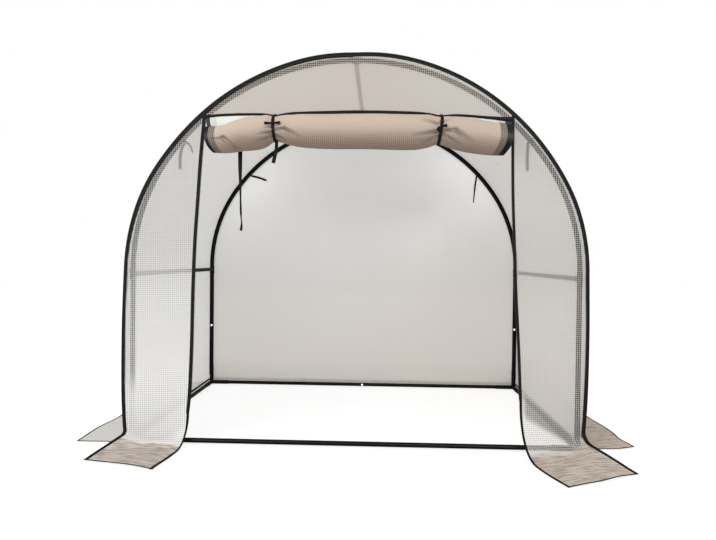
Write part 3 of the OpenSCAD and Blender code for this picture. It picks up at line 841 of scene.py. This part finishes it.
rightPanel = {"name": "frontRightPanel", "node": "front_right_wall", "sign": 1,
              "doorEdge": [(0.0, 0.872), (0.12, 0.864), (0.262, 0.853), (0.517, 0.840), (0.821, 0.821),
                           (1.075, 0.809), (1.277, 0.800), (1.479, 0.7955), (1.60, 0.7945), (1.7007, 0.794)],
              "innerBend": 0.25, "outerBend": 0.045, "bendPower": 1.6,
              "innerCorner": (0.9527, -1.2620), "outerCorner": (1.3285, -1.0705), "liftOuter": 0.060,
              "innerBow": -0.024, "outerBow": 0.014, "frontBow": 0.004,
              "waves": [(0.0022, 13.0, 7.0, 0.2), (0.0014, 27.0, 13.0, 2.1)],
              "warm": 0.36, "flapWarm": 0.85, "lying": 0.95, "lieFrom": 0.50, "lieDelay": 0.0,
              "denseLow": -0.42, "denseHigh": 0.26, "denseHoop": -0.45, "hoopFade": 0.0,
              "lit": 0.10, "litLow": 0.06, "litTop": 0.13,
              # the two lines that bound the painted shadow band: x, upper z and lower z at each end
              "shadowBand": ((0.8754, 0.2896, 0.1736), (1.1262, 0.0733, 0.0300)),
              "cutWidth": 0.44, "cutLength": 2.12, "cutArea": 0.73}


def panelColumn(s, w, heights):
    # one line of a front panel, w of the way from the door outwards: down the wall, round the bend and
    # over the flap
    sign, steps = s["sign"], panelSet
    doorEdge = throughKeys(s["doorEdge"])
    bend = lerp(s["innerBend"], s["outerBend"], 1 - (1 - w) ** s["bendPower"])
    lift = s["liftOuter"] * rise(w, 0.66, 0.34)

    def wallPoint(z):
        x = lerp(doorEdge(z), seamX(sign, z), w)
        share = min(z / steps["bellyTop"], 1)
        belly = steps["belly"] * math.sin(math.pi * w) * math.sin(math.pi * share)
        return Vector((sign * x, -hoop["endY"] - belly, z))
    low = [lerp(steps["lowFrom"], bend + lift, (i + 1) / steps["lowSteps"]) for i in range(steps["lowSteps"])]
    points = [(wallPoint(z), 0.0) for z in heights + low]
    cutLine = [(p.x, p.z) for p, lie in points]
    foot = wallPoint(bend + lift)
    inner, outer = Vector(s["innerCorner"]), Vector(s["outerCorner"])
    front = outer - inner
    bowed = Vector((front.y, -front.x)).normalized() * (sign * s["frontBow"] * math.sin(math.pi * w))
    reach = inner.lerp(outer, w) + bowed - foot.xy
    way = reach.normalized()
    side = Vector((way.y, -way.x)) * -sign  # outwards from the doorway
    bow = lerp(s["innerBow"], s["outerBow"], w)
    wait = s["lieDelay"] * rise(w, 0.40, 0.5)

    def groundPoint(run, z):
        t = run / reach.length
        place = foot.xy + way * run + side * (bow * math.sin(math.pi * min(t, 1.0)))
        wave = sum(a * (1 + math.sin(p * place.x + q * place.y + r)) for a, p, q, r in s["waves"])
        height = steps["floorLift"] + z + wave * rise(t, 0.25, 0.3) + lift * max(1 - t, 0.0) ** 1.4
        return Vector((place.x, place.y, height))

    def lieShare(run):
        # the flap's tone starts later towards the outer edge
        return ease((run - wait) / 0.02 + 1.0) if wait else 1.0
    ground = []
    for i in range(1, steps["turnSteps"] + 1):
        t = i / steps["turnSteps"]
        run = bend * (1 - math.cos(math.pi / 2 * t))
        ground.append((groundPoint(run, bend * (1 - math.sin(math.pi / 2 * t))),
                       rise(t, s["lieFrom"], 0.36) * lieShare(run), foot.x))
    for i in range(1, steps["flapSteps"] + 1):
        t = i / steps["flapSteps"]
        run = lerp(bend, reach.length, t)
        ground.append((groundPoint(run, 0.0), lieShare(run), foot.x + reach.x * t))
    down = runs([foot] + [p for p, lie, cutX in ground])[1:]
    points += [(p, lie) for p, lie, cutX in ground]
    cutLine += [(cutX, bend + lift - run) for (p, lie, cutX), run in zip(ground, down)]
    return points, cutLine


def panelLooks(s):
    def shadowBandLines(p):
        # the painted shadow band lies between two lines from the door's edge to the hoop's foot
        (x0, top0, low0), (x1, top1, low1) = s["shadowBand"]
        t = (p.x - x0) / (x1 - x0)
        return t, p.x - x0, lerp(top0, top1, t), lerp(low0, low1, t)

    def dense(p):
        high = rise(p.z, shadowBandLines(p)[3], 0.03) if s["shadowBand"] else rise(p.z, 0.25, 0.5)
        plain = lerp(s["denseLow"], s["denseHigh"], high)
        band = lerp(s["denseHoop"], plain, fall(p.z, s["hoopFade"], 0.2))
        return lerp(plain, band, hoopBand(p))

    def scrim(p):
        high = rise(p.z, shadowBandLines(p)[2], 0.03) if s["shadowBand"] else rise(p.z, 0.85, 0.45)
        return lerp(1.0, lerp(0.28, 0.9, hoopBand(p)), high)

    # a dark band painted between the two lines: painted shadow
    def paintedShadow(p):
        if s["shadowBand"] is None or p.z > 0.4:
            return 0.0
        t, gap, top, low = shadowBandLines(p)
        inside = min((top - p.z) / 0.012 + 0.5, (p.z - low) / 0.034 + 0.5)
        return ease(inside) * rise(gap, -0.012, 0.03) * fall(t, 1.06, 0.10)

    def warm(p):
        return s["flapWarm"] if p.z < 0.02 else s["warm"] + 0.3 * rise(p.z, 1.0, 0.7)

    # painted light: the face is brightened, most low on the left panel, and eased off where the film meets
    # the ground
    def lit(p):
        tone = (s["lit"] * fall(p.z, 1.10, 0.55) + s["litLow"] * fall(p.z, 0.55, 0.3)
                + s["litTop"] * rise(p.z, 0.95, 0.3))
        return tone if p.y > -0.86 else tone * rise(p.z, 0.004, 0.03)
    return {"dense": dense, "scrim": scrim, "paintedShadow": paintedShadow, "warm": warm, "lit": lit, "matt": lambda p: 1.0}


def makePanel(s):
    outline = archHalf(hoop["seamOff"], legSteps=panelSet["legSteps"], bendSteps=panelSet["bendSteps"])
    heights = [z for x, z, nx, nz in outline if panelSet["lowFrom"] < z < hoop["doorH"]] + [hoop["doorH"]]
    lines = [panelColumn(s, k / panelSet["columns"], heights[::-1]) for k in range(panelSet["columns"] + 1)]
    rows, marks = sheetTables([points for points, cut in lines], lambda p: s["lying"], **panelLooks(s))
    panel = gridSheet(s["name"], rows, [cut for points, cut in lines], marks, flip=s["sign"] < 0)
    dress(panel, meshFilm, "mesh_film", s["node"])
    return rows


leftRows = makePanel(leftPanel)
rightRows = makePanel(rightPanel)
print("end panels made")


# black bindings sewn over the sheets' edges
tapeSet = {"archWidth": 0.020, "archMore": (0.006, 0.002), "coverWidth": 0.026, "coverGap": 0.0004,
           "doorWidth": (0.018, 0.014), "headerSpan": (-0.792, 0.812), "hemWidth": 0.009, "footWidth": 0.015,
           "thick": 0.0030, "headerThick": 0.0040, "hemThick": 0.0021, "overlap": 0.001, "flapTop": 0.30,
           "archFoot": 0.305, "rearFoot": 0.064}
# the header's width by the share of the way from left to right
headerWide = throughKeys([
    (0.0, 0.015), (0.10, 0.013), (0.20, 0.012), (0.24, 0.007), (0.30, 0.013), (0.5, 0.017), (0.68, 0.014),
    (0.74, 0.010), (0.77, 0.008), (0.82, 0.012), (0.92, 0.015), (0.97, 0.021), (1.0, 0.022)])


def edgeOf(line, inside):
    # a boundary of a sheet and the directions into it, without points that lie too close together for a band
    route, sides = [], []
    for p, q in zip(line, inside):
        if not route or (p - route[-1]).length > bandGap:
            route.append(p)
            sides.append(q - p)
    return route, sides


def archRoute(y, foot, halves):
    # from the left foot over the crown to the right foot, with the directions inwards
    left, right = ([(Vector((sign * x, y, z)), Vector((-sign * nx, 0, -nz)))
                    for x, z, nx, nz in half if z > foot] for sign, half in zip((-1, 1), halves))
    both = left[:-1] + right[::-1]
    return [p for p, a in both], [a for p, a in both]


def archBinding(name, node, y, face, halves, s):
    # the face tape joined with the tape that turns over onto the cover
    route = archRoute(y, s["rearFoot"], halves)[0]
    over = ribbon(name + "Edge", route, [Vector((0, 1, 0))] * len(route), s["coverWidth"], s["thick"])
    binding = joinPieces(name, [face, over])
    dress(binding, wovenTape, "black_tape", node)


def makeArchBindings(s):
    lip = hoop["seamOff"] - hoop["tapeOff"]
    over = hoop["coverOff"] + s["coverGap"]
    inset = hoop["endY"] - s["coverWidth"] / 2
    # front arch: up the left flap's outer edge, over the hoop and down to the right flap's corner
    arch, archIn = archRoute(-hoop["endY"], s["archFoot"], looseHalves(hoop["seamOff"]))
    line, inside = list(arch), [p + a for p, a in zip(arch, archIn)]
    for rows, leads in ((leftRows, True), (rightRows, False)):
        foot = [(p, q) for p, q in zip(rows[-1], rows[-2]) if p.z < s["flapTop"]]
        if leads:
            line, inside = [p for p, q in foot[::-1]] + line, [q for p, q in foot[::-1]] + inside
        else:
            line, inside = line + [p for p, q in foot], inside + [q for p, q in foot]
    route, sides = edgeOf(line, inside)
    widths = [s["archWidth"] + s["archMore"][0 if p.x < 0 else 1] * rise(p.z, 0.90, 0.35) for p in route]
    face = ribbon("frontArchFace", route, sides, lambda t: widths[round(t * (len(widths) - 1))], s["thick"],
                  start=lip)
    archBinding("frontArchBinding", "front_arch_binding", -inset, face, looseHalves(over), s)
    rearLine, rearIn = archRoute(hoop["endY"], s["rearFoot"], [archHalf(hoop["rearSeam"])] * 2)
    face = ribbon("rearArchFace", rearLine, rearIn, s["archWidth"], s["thick"], start=lip)
    archBinding("rearArchBinding", "rear_arch_binding", inset, face, [archHalf(over)] * 2, s)
    return route, sides


def makeDoorBindings(s):
    routes = []
    for rows, side, width in ((leftRows, "left", s["doorWidth"][0]), (rightRows, "right", s["doorWidth"][1])):
        route, sides = edgeOf(rows[0], rows[1])
        tape = ribbon(side + "DoorBinding", route, sides, width, s["thick"], start=-s["overlap"])
        dress(tape, wovenTape, "black_tape", side + "_door_tape")
        routes.append((route, sides))
    header = [p for p in gableRows[0] if s["headerSpan"][0] < p.x < s["headerSpan"][1]]
    headerIn = [Vector((0, 0, 1))] * len(header)
    tape = ribbon("doorHeader", header, headerIn, headerWide, s["headerThick"])
    dress(tape, wovenTape, "black_tape", "door_header_tape")
    return routes, (header, headerIn)


def makeHems(s):
    # thin hems on the flaps' front edges and round the skirts
    bent = coverSet["skirtSteps"] + coverSet["bendSteps"]  # points on the skirt and its bend
    rearFoot = rearRows[:rearSet["skirtSteps"] + rearSet["bendSteps"] + 3]

    def sideEdge(rows, end, inner):
        return [line[end] for line in rows], [line[inner] for line in rows]
    edges = [sideEdge(rows, -1, -2) for rows in (leftRows, rightRows, coverRows, rearFoot)]
    edges += [sideEdge(rows, 0, 1) for rows in (coverRows, rearFoot)]
    edges.append((rearRows[0], rearRows[1]))
    for line, inside in ((coverRows[0], coverRows[1]), (coverRows[-1], coverRows[-2])):
        edges += [(line[:bent], inside[:bent]), (line[-bent:], inside[-bent:])]
    hems = [ribbon("hem", *edgeOf(*edge), s["hemWidth"], s["hemThick"], start=-s["overlap"])
            for edge in edges]
    # a seam along the foot of each side wall
    for low, high in ((bent - 1, bent), (-bent, -bent - 1)):
        route = [line[low].lerp(line[high], 0.55) for line in coverRows]
        upwards = [Vector((0, 0, 1))] * len(route)
        hems.append(ribbon("footSeam", route, upwards, s["footWidth"], s["hemThick"]))
    dress(joinPieces("skirtHems", hems), wovenTape, "black_tape")


frontRoute = makeArchBindings(tapeSet)
doorRoutes, headerRoute = makeDoorBindings(tapeSet)
makeHems(tapeSet)
print("bindings sewn")


# rolled door: the door sheet wound outwards into a loose roll under its header
rollSet = {"cutWidth": 1.53, "cutLength": 1.70, "span": (-0.7505, 0.782), "centreY": -0.8000,
           "turns": 5.35, "pitch": 0.0165, "middle": 0.089, "leftTie": -0.398, "rightTie": 0.421,
           "columns": 310, "outerSteps": 96, "innerSteps": 34, "hangSteps": 8, "touchAngle": 23.0,
           "topLayers": 0.45, "topSpread": (1.022, 1.014), "slant": 0.042, "foldDeep": 0.013,
           # creaseShade and creaseSpread set the painted shade in the folds, underFrom and underLong the
           # painted shade on the underside
           "creaseShade": 0.74, "creaseSpread": 1.5, "underFrom": 0.066, "underLong": 0.160}
rollHeight = throughKeys([
    (-0.757, 1.5671), (-0.665, 1.5705), (-0.573, 1.592), (-0.481, 1.602), (-0.404, 1.619), (-0.30, 1.613),
    (-0.16, 1.609), (0.10, 1.609), (0.30, 1.608), (0.423, 1.616), (0.518, 1.600), (0.608, 1.587),
    (0.70, 1.576), (0.782, 1.571)])
rollRound = throughKeys([
    (-0.757, 0.0625), (-0.665, 0.067), (-0.60, 0.075), (-0.527, 0.081), (-0.450, 0.078), (-0.404, 0.0615),
    (-0.343, 0.071), (-0.27, 0.081), (0.02, 0.0855), (0.29, 0.0835), (0.37, 0.077), (0.423, 0.065),
    (0.473, 0.074), (0.563, 0.0815), (0.66, 0.080), (0.782, 0.075)])
# folds pressed into the roll: from (x, degrees from the top towards the front) to (x, degrees), depths, width
rollFolds = [((-0.715, 97.0), (-0.655, 96.0), (0.003, 0.012), 0.0060),
             ((-0.655, 96.0), (-0.600, 160.0), (0.015, 0.005), 0.0095),
             ((-0.388, 98.0), (-0.345, 93.0), (0.012, 0.012), 0.0065),
             ((-0.345, 93.0), (-0.262, 124.0), (0.013, 0.001), 0.0085),
             ((-0.388, 128.0), (-0.325, 152.0), (0.013, 0.001), 0.0085),
             ((-0.408, 88.0), (-0.455, 82.0), (0.011, 0.001), 0.0065),
             ((-0.408, 112.0), (-0.480, 104.0), (0.012, 0.001), 0.0075),
             ((-0.408, 132.0), (-0.505, 128.0), (0.012, 0.001), 0.0095),
             ((0.430, 62.0), (0.485, 42.0), (0.011, 0.001), 0.0075),
             ((0.430, 98.0), (0.500, 88.0), (0.013, 0.013), 0.0070),
             ((0.500, 88.0), (0.595, 128.0), (0.013, 0.001), 0.0110),
             ((0.430, 112.0), (0.545, 146.0), (0.013, 0.001), 0.0095),
             ((0.412, 68.0), (0.325, 52.0), (0.012, 0.001), 0.0085),
             ((0.412, 104.0), (0.290, 112.0), (0.013, 0.001), 0.0085),
             ((0.412, 126.0), (0.340, 146.0), (0.012, 0.001), 0.0085)]
foldReach = 0.05
degreeLong = math.radians(1) * 0.08  # a degree as arc length on a roll of 80 mm


def foldDepth(x, degrees, spread=1.0):
    # how far the folds press in at a place on the roll; spread widens them for their painted shade
    press, rim = 0.0, 0.0
    for (x0, a0), (x1, a1), depths, width in rollFolds:
        if x < min(x0, x1) - foldReach or x > max(x0, x1) + foldReach:
            continue
        wide = width * spread
        way = Vector((x1 - x0, (a1 - a0) * degreeLong))
        off = Vector((x - x0, (degrees - a0) * degreeLong))
        t = min(max(off.dot(way) / way.length_squared, 0.0), 1.0)
        gap = (off - way * t).length
        depth = lerp(depths[0], depths[1], t)
        press = max(press, depth * math.exp(-(gap / wide) ** 2))
        rim = max(rim, 0.30 * depth * math.exp(-((gap - 2 * wide) / wide) ** 2))
    return press - rim * max(1 - press / 0.006, 0.0)


def rollPoint(x, turn, s):
    # turn counts from where the sheet comes down onto the roll's back; the sheet winds under and up the front
    base = rollRound(x)
    lay = s["topLayers"] - turn if turn < s["topLayers"] else -max(turn - 1.0, 0.0)
    angle = math.radians(s["touchAngle"]) - math.tau * turn
    degrees = (-math.degrees(angle)) % 360
    fade = min(turn * 2.5, 1.0) * (1.0 if turn < 1.2 else 0.4)
    soft = 0.0018 * math.sin(5.3 * x + 2 * angle) + 0.0013 * math.sin(13.7 * x + 3 * angle + 1.0)
    r = base + s["pitch"] * base / s["middle"] * lay + (soft - foldDepth(x, degrees)) * fade
    # the wound edge runs in towards the middle at the bottom of each end
    slant = 1 - s["slant"] * rise(abs(x), 0.45, 0.30) * (0.5 - 0.5 * math.cos(angle)) ** 4
    return Vector((x * slant, s["centreY"] + math.sin(angle) * r, rollHeight(x) + math.cos(angle) * r))


def rollColumn(x, turns, s):
    # one line of the door: down from the header, then round the roll
    steps = s["hangSteps"]
    touch = rollPoint(x, 0.0, s)
    top = Vector((x * s["topSpread"][0 if x < 0 else 1], -hoop["endY"] + 0.0016, headerLine(x) - 0.002))
    hang = [top.lerp(touch, i / steps) for i in range(steps)]
    for i, p in enumerate(hang):
        p.x = lerp(top.x, touch.x, (i / steps) ** 3)
    return hang + [rollPoint(x, turn, s) for turn in turns]


def makeRoll(s):
    turns = [i / s["outerSteps"] for i in range(s["outerSteps"])]
    turns += [1 + i / s["innerSteps"] for i in range(int((s["turns"] - 1) * s["innerSteps"]) + 1)]
    rows, cuts = [], []
    marks = {"edge": [], "under": [], "single": [], "creaseShadow": []}
    left, right = s["span"]

    # painted shade in the folds, from how deep they press in
    def creaseShare(x, turn):
        if turn >= 1.1:
            return 0.0
        depth = foldDepth(x, (360 * turn - s["touchAngle"]) % 360, s["creaseSpread"])
        return min(max(depth / s["foldDeep"], 0.0), 1.0) * s["creaseShade"]
    for k in range(s["columns"] + 1):
        x = lerp(left, right, k / s["columns"])
        points = rollColumn(x, turns, s)
        rows.append(points)
        cuts.append([(x, run) for run in runs(points)])
        marks["edge"].append([min(x - left + 0.012, right - x)] * len(points))
        marks["creaseShadow"].append([0.0] * s["hangSteps"] + [creaseShare(x, turn) for turn in turns])
        # darker towards the bottom of the roll: painted shade
        marks["under"].append([fall(p.z, rollHeight(x) + s["underFrom"], s["underLong"]) for p in points])
        marks["single"].append([1.0] * s["hangSteps"] + [fall(turn, 0.06, 0.06) for turn in turns])
    roll = gridSheet("rolledDoor", rows, cuts, marks)
    dress(roll, rolledFilm, "rolled_film", "rolled_door")


makeRoll(rollSet)
print("door rolled")


# ties round the roll with a toggle and a knot, and ties round the hoops
tieSet = {"width": 0.015, "thick": 0.0024, "gap": 0.0020, "steps": 60, "arc": (6, 330),
          "lean": (-0.010, 0.016), "toggle": ((-0.4445, -0.874, 1.6370), (-0.3660, -0.874, 1.6400)),
          "knot": (0.421, -0.874, 1.6130), "knotSize": 0.012,
          "ends": (((0.428, -0.876, 1.6240), (0.4565, -0.880, 1.6285)),
                   ((0.424, -0.876, 1.6180), (0.4105, -0.880, 1.6020))),
          "ringRound": 0.0138, "ringWidth": 0.012, "ringThick": 0.0014, "hoopKnotIn": 0.0195,
          "hoopKnotSize": 0.0075}


def tieLoop(name, x, lean, s):
    # a band from the header's face round the front of the roll, under it and up its back
    places = [Vector((x + lean, -hoop["endY"] - 0.003, headerLine(x) + 0.006))]
    degrees = [lerp(*s["arc"], i / s["steps"]) for i in range(s["steps"] + 1)]
    reach = []
    for angle in degrees:
        turn = (rollSet["touchAngle"] + angle) / 360
        reaches = []
        for edgeX in (x - s["width"] / 2, x, x + s["width"] / 2):
            p = rollPoint(edgeX, turn, rollSet)
            reaches.append(math.hypot(p.y - rollSet["centreY"], p.z - rollHeight(edgeX)))
        reach.append(max(reaches))
    for i, angle in enumerate(degrees):
        a = -math.radians(angle)
        r = max(reach[max(i - 3, 0):i + 4]) + s["gap"]
        places.append(Vector((x + lean * (0.5 + 0.5 * math.cos(a)), rollSet["centreY"] + math.sin(a) * r,
                              rollHeight(x) + math.cos(a) * r)))
    return ribbon(name, places, [Vector((1, 0, 0.05))] * len(places), s["width"], s["thick"])


def softKnot(name, centre, size, axis, seed):
    # a small hand-tied knot: a few crossing turns of tape pulled tight
    turns = []
    main = Vector(axis).normalized()
    side = main.orthogonal().normalized()
    third = main.cross(side)
    for k in range(3):
        tilt = seed * 0.7 + k * 1.05
        ring = main * math.cos(tilt) + side * math.sin(tilt)
        across = main * -math.sin(tilt) + side * math.cos(tilt)
        angles = [math.tau * i / 24 for i in range(25)]
        places = [Vector(centre) + (ring * math.cos(a) * 0.75 + third * math.sin(a)) * size * (0.82 + 0.1 * k)
                  for a in angles]
        turns.append(ribbon(name + str(k), places, [across] * len(places), size * 1.1, size * 0.30))
    return joinPieces(name, turns)


def tubeRing(name, centre, tangent, s):
    # a turn of tape round a tube
    main = Vector(tangent).normalized()
    side = main.orthogonal().normalized()
    third = main.cross(side)
    angles = [math.tau * i / 32 for i in range(33)]
    places = [Vector(centre) + (side * math.cos(a) + third * math.sin(a)) * s["ringRound"] for a in angles]
    return ribbon(name, places, [main] * len(places), s["ringWidth"], s["ringThick"])


def straightTape(name, start, end, steps, across, width, thick):
    run = [Vector(start).lerp(Vector(end), i / steps) for i in range(steps + 1)]
    return ribbon(name, run, [Vector(across)] * len(run), width, thick)


def makeDoorTies(s):
    # the left tie has a toggle bar, the right one a knot with two short ends
    made = [tieLoop("leftTie", rollSet["leftTie"], s["lean"][0], s),
            tieLoop("rightTie", rollSet["rightTie"], s["lean"][1], s),
            straightTape("toggle", *s["toggle"], 12, (0, 0.2, 1),
                         lambda t: 0.010 + 0.009 * (2 * t - 1) ** 2, 0.006),
            softKnot("knot", s["knot"], s["knotSize"], (0.4, 0, 1), 2.0)]
    for start, end in s["ends"]:
        made.append(straightTape("end", start, end, 5, (-0.3, 0, 1), lambda t: 0.009 + 0.010 * t * t, 0.005))
    dress(joinPieces("doorTies", made), wovenTape, "black_tape", "door_ties")


def makeHoopTies(s):
    made = []
    for sign in (-1, 1):
        for (x, z), y in ((frontKnot, -hoop["planeY"]), (rearKnot, hoop["planeY"])):
            a = math.atan2(z - hoop["crownZ"], x)
            outward = Vector((sign * math.cos(a), 0, math.sin(a)))
            centre = Vector((0, y, hoop["crownZ"])) + outward * hoop["crownR"]
            along = Vector((-sign * math.sin(a), 0, math.cos(a)))
            made.append(tubeRing("ring", centre, along, s))
            knot = centre - outward * s["hoopKnotIn"]
            made.append(softKnot("knot", knot, s["hoopKnotSize"], along, 1.5 + sign))
    dress(joinPieces("hoopTies", made), wovenTape, "black_tape", "hoop_ties")


makeDoorTies(tieSet)
makeHoopTies(tieSet)
print("ties tied")


# Geometry Nodes: bolts at marked points, and stitches and zip teeth along lines
class Pattern(NodeBench):
    def __init__(self, name, sizes):
        self.tree = bpy.data.node_groups.new(name, "GeometryNodeTree")
        self.tree.interface.new_socket("Geometry", in_out="INPUT", socket_type="NodeSocketGeometry")
        self.keys = {}
        for key, value in sizes.items():
            socket = self.tree.interface.new_socket(key, in_out="INPUT", socket_type="NodeSocketFloat")
            socket.default_value = value
            self.keys[key] = socket.identifier
        self.tree.interface.new_socket("Geometry", in_out="OUTPUT", socket_type="NodeSocketGeometry")
        self.given = self.node("NodeGroupInput")

    def placed(self, points, shape, turn):
        made = self.node("GeometryNodeInstanceOnPoints", None,
                         {"Points": points.outputs[0], "Instance": shape.outputs[0],
                          "Rotation": turn.outputs[0]})
        return made.outputs[0]

    def close(self, geometry, material):
        solid = self.node("GeometryNodeRealizeInstances", None, {"Geometry": geometry})
        painted = self.node("GeometryNodeSetMaterial", None,
                            {"Geometry": solid.outputs[0], "Material": material})
        self.node("NodeGroupOutput", None, {0: painted.outputs[0]})

    def plainMesh(self, piece, sizes):
        # runs the tree on the piece's mesh and keeps only the plain result
        modifier = piece.modifiers.new("pattern", "NODES")
        modifier.node_group = self.tree
        for key, value in sizes.items():
            modifier[self.keys[key]] = value
        ready = piece.evaluated_get(bpy.context.evaluated_depsgraph_get())
        mesh = bpy.data.meshes.new_from_object(ready)
        piece.modifiers.clear()
        old = piece.data
        piece.data = mesh
        bpy.data.meshes.remove(old)
        return piece


boltSet = {"headWide": 0.0056, "headHigh": 0.0042, "washerWide": 0.0078, "washerHigh": 0.0014}


def boltPattern(s):
    p = Pattern("hexBolts", s)
    head = p.node("GeometryNodeMeshCylinder", None,
                  {"Vertices": 6, "Radius": p.given.outputs["headWide"],
                   "Depth": p.given.outputs["headHigh"]})
    headUp = p.node("ShaderNodeCombineXYZ", None, {"Z": p.given.outputs["headHigh"]})
    raised = p.node("GeometryNodeTransform", None,
                    {"Geometry": head.outputs[0], "Translation": headUp.outputs[0]})
    washer = p.node("GeometryNodeMeshCylinder", None,
                    {"Vertices": 18, "Radius": p.given.outputs["washerWide"],
                     "Depth": p.given.outputs["washerHigh"]})
    joined = p.node("GeometryNodeJoinGeometry")
    for part in (raised, washer):
        p.tree.links.new(part.outputs[0], joined.inputs[0])
    points = p.node("GeometryNodeMeshToPoints", None, {"Mesh": p.given.outputs["Geometry"]})
    axis = p.node("GeometryNodeInputNamedAttribute", {"data_type": "FLOAT_VECTOR"}, {"Name": "axis"})
    turn = p.node("FunctionNodeAlignRotationToVector", {"axis": "Z"}, {"Vector": axis.outputs[0]})
    p.close(p.placed(points, joined, turn), zincSteel)
    return p


def stitchPattern(name, material, sizes):
    p = Pattern(name, sizes)
    line = p.node("GeometryNodeMeshToCurve", None, {"Mesh": p.given.outputs["Geometry"]})
    even = p.node("GeometryNodeResampleCurve", {"mode": "LENGTH"}, {"Curve": line.outputs[0],
                                                                    "Length": p.given.outputs["pitch"]})
    size = p.node("ShaderNodeCombineXYZ", None, {"X": p.given.outputs["long"], "Y": p.given.outputs["wide"],
                                                 "Z": p.given.outputs["high"]})
    stitch = p.node("GeometryNodeMeshCube", None, {"Size": size.outputs[0]})
    along = p.node("GeometryNodeInputTangent")
    turn = p.node("FunctionNodeAlignRotationToVector", {"axis": "X"}, {"Vector": along.outputs[0]})
    p.close(p.placed(even, stitch, turn), material)
    return p


def pointCloud(name, places):
    mesh = bpy.data.meshes.new(name)
    mesh.from_pydata([p for p, a in places], [], [])
    axis = mesh.attributes.new("axis", "FLOAT_VECTOR", "POINT")
    for i, (p, a) in enumerate(places):
        axis.data[i].vector = a
    piece = bpy.data.objects.new(name, mesh)
    bpy.context.collection.objects.link(piece)
    return piece


def lineMesh(name, lines):
    points, edges = [], []
    for line in lines:
        first = len(points)
        points += [tuple(p) for p in line]
        edges += [(first + i, first + i + 1) for i in range(len(line) - 1)]
    mesh = bpy.data.meshes.new(name)
    mesh.from_pydata(points, edges, [])
    piece = bpy.data.objects.new(name, mesh)
    bpy.context.collection.objects.link(piece)
    return piece


boltSpots = {"tubeR": 0.0128, "legZ": 0.4514, "railX": 0.008, "railZ": 0.0145}


def boltPlaces(s):
    # on each leg and in the middle of the front and rear rails, facing into the tunnel
    places = []
    for inward in (1, -1):
        y = inward * (s["tubeR"] - hoop["planeY"])
        for x, z in ((-hoop["legX"], s["legZ"]), (hoop["legX"], s["legZ"]), (s["railX"], s["railZ"])):
            places.append(((x, y, z), (0, inward, 0)))
    return places


bolts = boltPattern(boltSet).plainMesh(pointCloud("frameBolts", boltPlaces(boltSpots)), boltSet)
dress(bolts, zincSteel, "frame_steel")

stitchSet = {"pitch": 0.0055, "long": 0.0036, "wide": 0.0008, "high": 0.0008}


def seamLine(route, sides, inset, lift):
    # a line on a band's face, inset from the sheet's edge
    line = []
    for p, side, tangent in zip(route, sides, tangents(route)):
        across = (side - tangent * side.dot(tangent)).normalized()
        line.append(p + across * inset + across.cross(tangent) * lift)
    return line


seamLift = tapeSet["thick"] * 0.5 + 0.0003
seams = []
for (route, sides), insets in ((frontRoute, (0.0035, 0.0145)), (doorRoutes[0], (0.0095,)),
                               (doorRoutes[1], (0.0095,)), (headerRoute, (0.004,))):
    for inset in insets:
        seams += [seamLine(route, sides, inset, lift) for lift in (-seamLift, seamLift)]
stitches = stitchPattern("tapeStitches", sewingThread, stitchSet).plainMesh(
    lineMesh("tapeStitches", seams), stitchSet)
dress(stitches, sewingThread, "black_tape")

zipSet = {"pitch": 0.0030, "long": 0.0014, "wide": 0.0040, "high": 0.0026}
zipOut, zipFoot = 0.0022, 0.26
zipLines = [[p for p in seamLine(route, sides, -zipOut, 0.0) if p.z > zipFoot] for route, sides in doorRoutes]
zipTeeth = stitchPattern("zipTeeth", sewingThread, zipSet).plainMesh(lineMesh("zipTeeth", zipLines), zipSet)
dress(zipTeeth, sewingThread, "black_tape")
print("bolts, stitches and zip teeth set")


# frame nodes keep their own shape and get the powder coat
frameNodes = [part + "_" + kind for part in ("front_left", "front_right", "rear_left", "rear_right")
              for kind in ("corner", "leg", "side", "rail")]
frameNodes += ["front_crown", "rear_crown", "left_rail", "right_rail", "left_purlin", "right_purlin",
               "ridge_purlin", "purlin_clamps"]
for nodeName in frameNodes:
    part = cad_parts[nodeName]
    for spot in part.material_slots:
        spot.material = powderBlack


# floor, light and view
stageSet = {"floorHalf": 14.0, "floorDrop": 0.0012, "world": 1.0, "aim": (0, 0, 0.9), "lamps": {
    "softKey": {"place": (-3.6, -4.6, 4.8), "power": 170.0, "size": 3.4, "glossOnly": False},
    "leftSoftbox": {"place": (-2.25, -4.8, 2.36), "power": 680.0, "size": 1.0, "glossOnly": True},
    "rightSoftbox": {"place": (1.63, -4.8, 2.40), "power": 680.0, "size": 1.0, "glossOnly": True}}}


def makeStage(s):
    mesh = bmesh.new()
    bmesh.ops.create_grid(mesh, x_segments=8, y_segments=8, size=s["floorHalf"])
    floor = linkMesh("paleFloor", mesh)
    floor.data.transform(Matrix.Translation((0, 0, -s["floorDrop"])))
    floor.data.materials.append(makeFloor())
    world = bpy.data.worlds.new("softStudio")
    world.use_nodes = True
    sky = world.node_tree.nodes["Background"]
    sky.inputs[0].default_value = (1, 1, 1, 1)
    sky.inputs[1].default_value = s["world"]
    bpy.context.scene.world = world
    for name, spec in s["lamps"].items():
        lamp = bpy.data.lights.new(name, "AREA")
        lamp.energy = spec["power"]
        lamp.size = spec["size"]
        holder = bpy.data.objects.new(name, lamp)
        bpy.context.collection.objects.link(holder)
        holder.location = spec["place"]
        holder.visible_diffuse = not spec["glossOnly"]
        holder.visible_transmission = not spec["glossOnly"]
        holder.rotation_euler = (Vector(s["aim"]) - holder.location).to_track_quat("-Z", "Y").to_euler()
    view = bpy.context.scene.view_settings
    view.view_transform = "Standard"
    view.look = "None"
    view.exposure = 0.0
    view.gamma = 1.0


makeStage(stageSet)
print("stage lit")
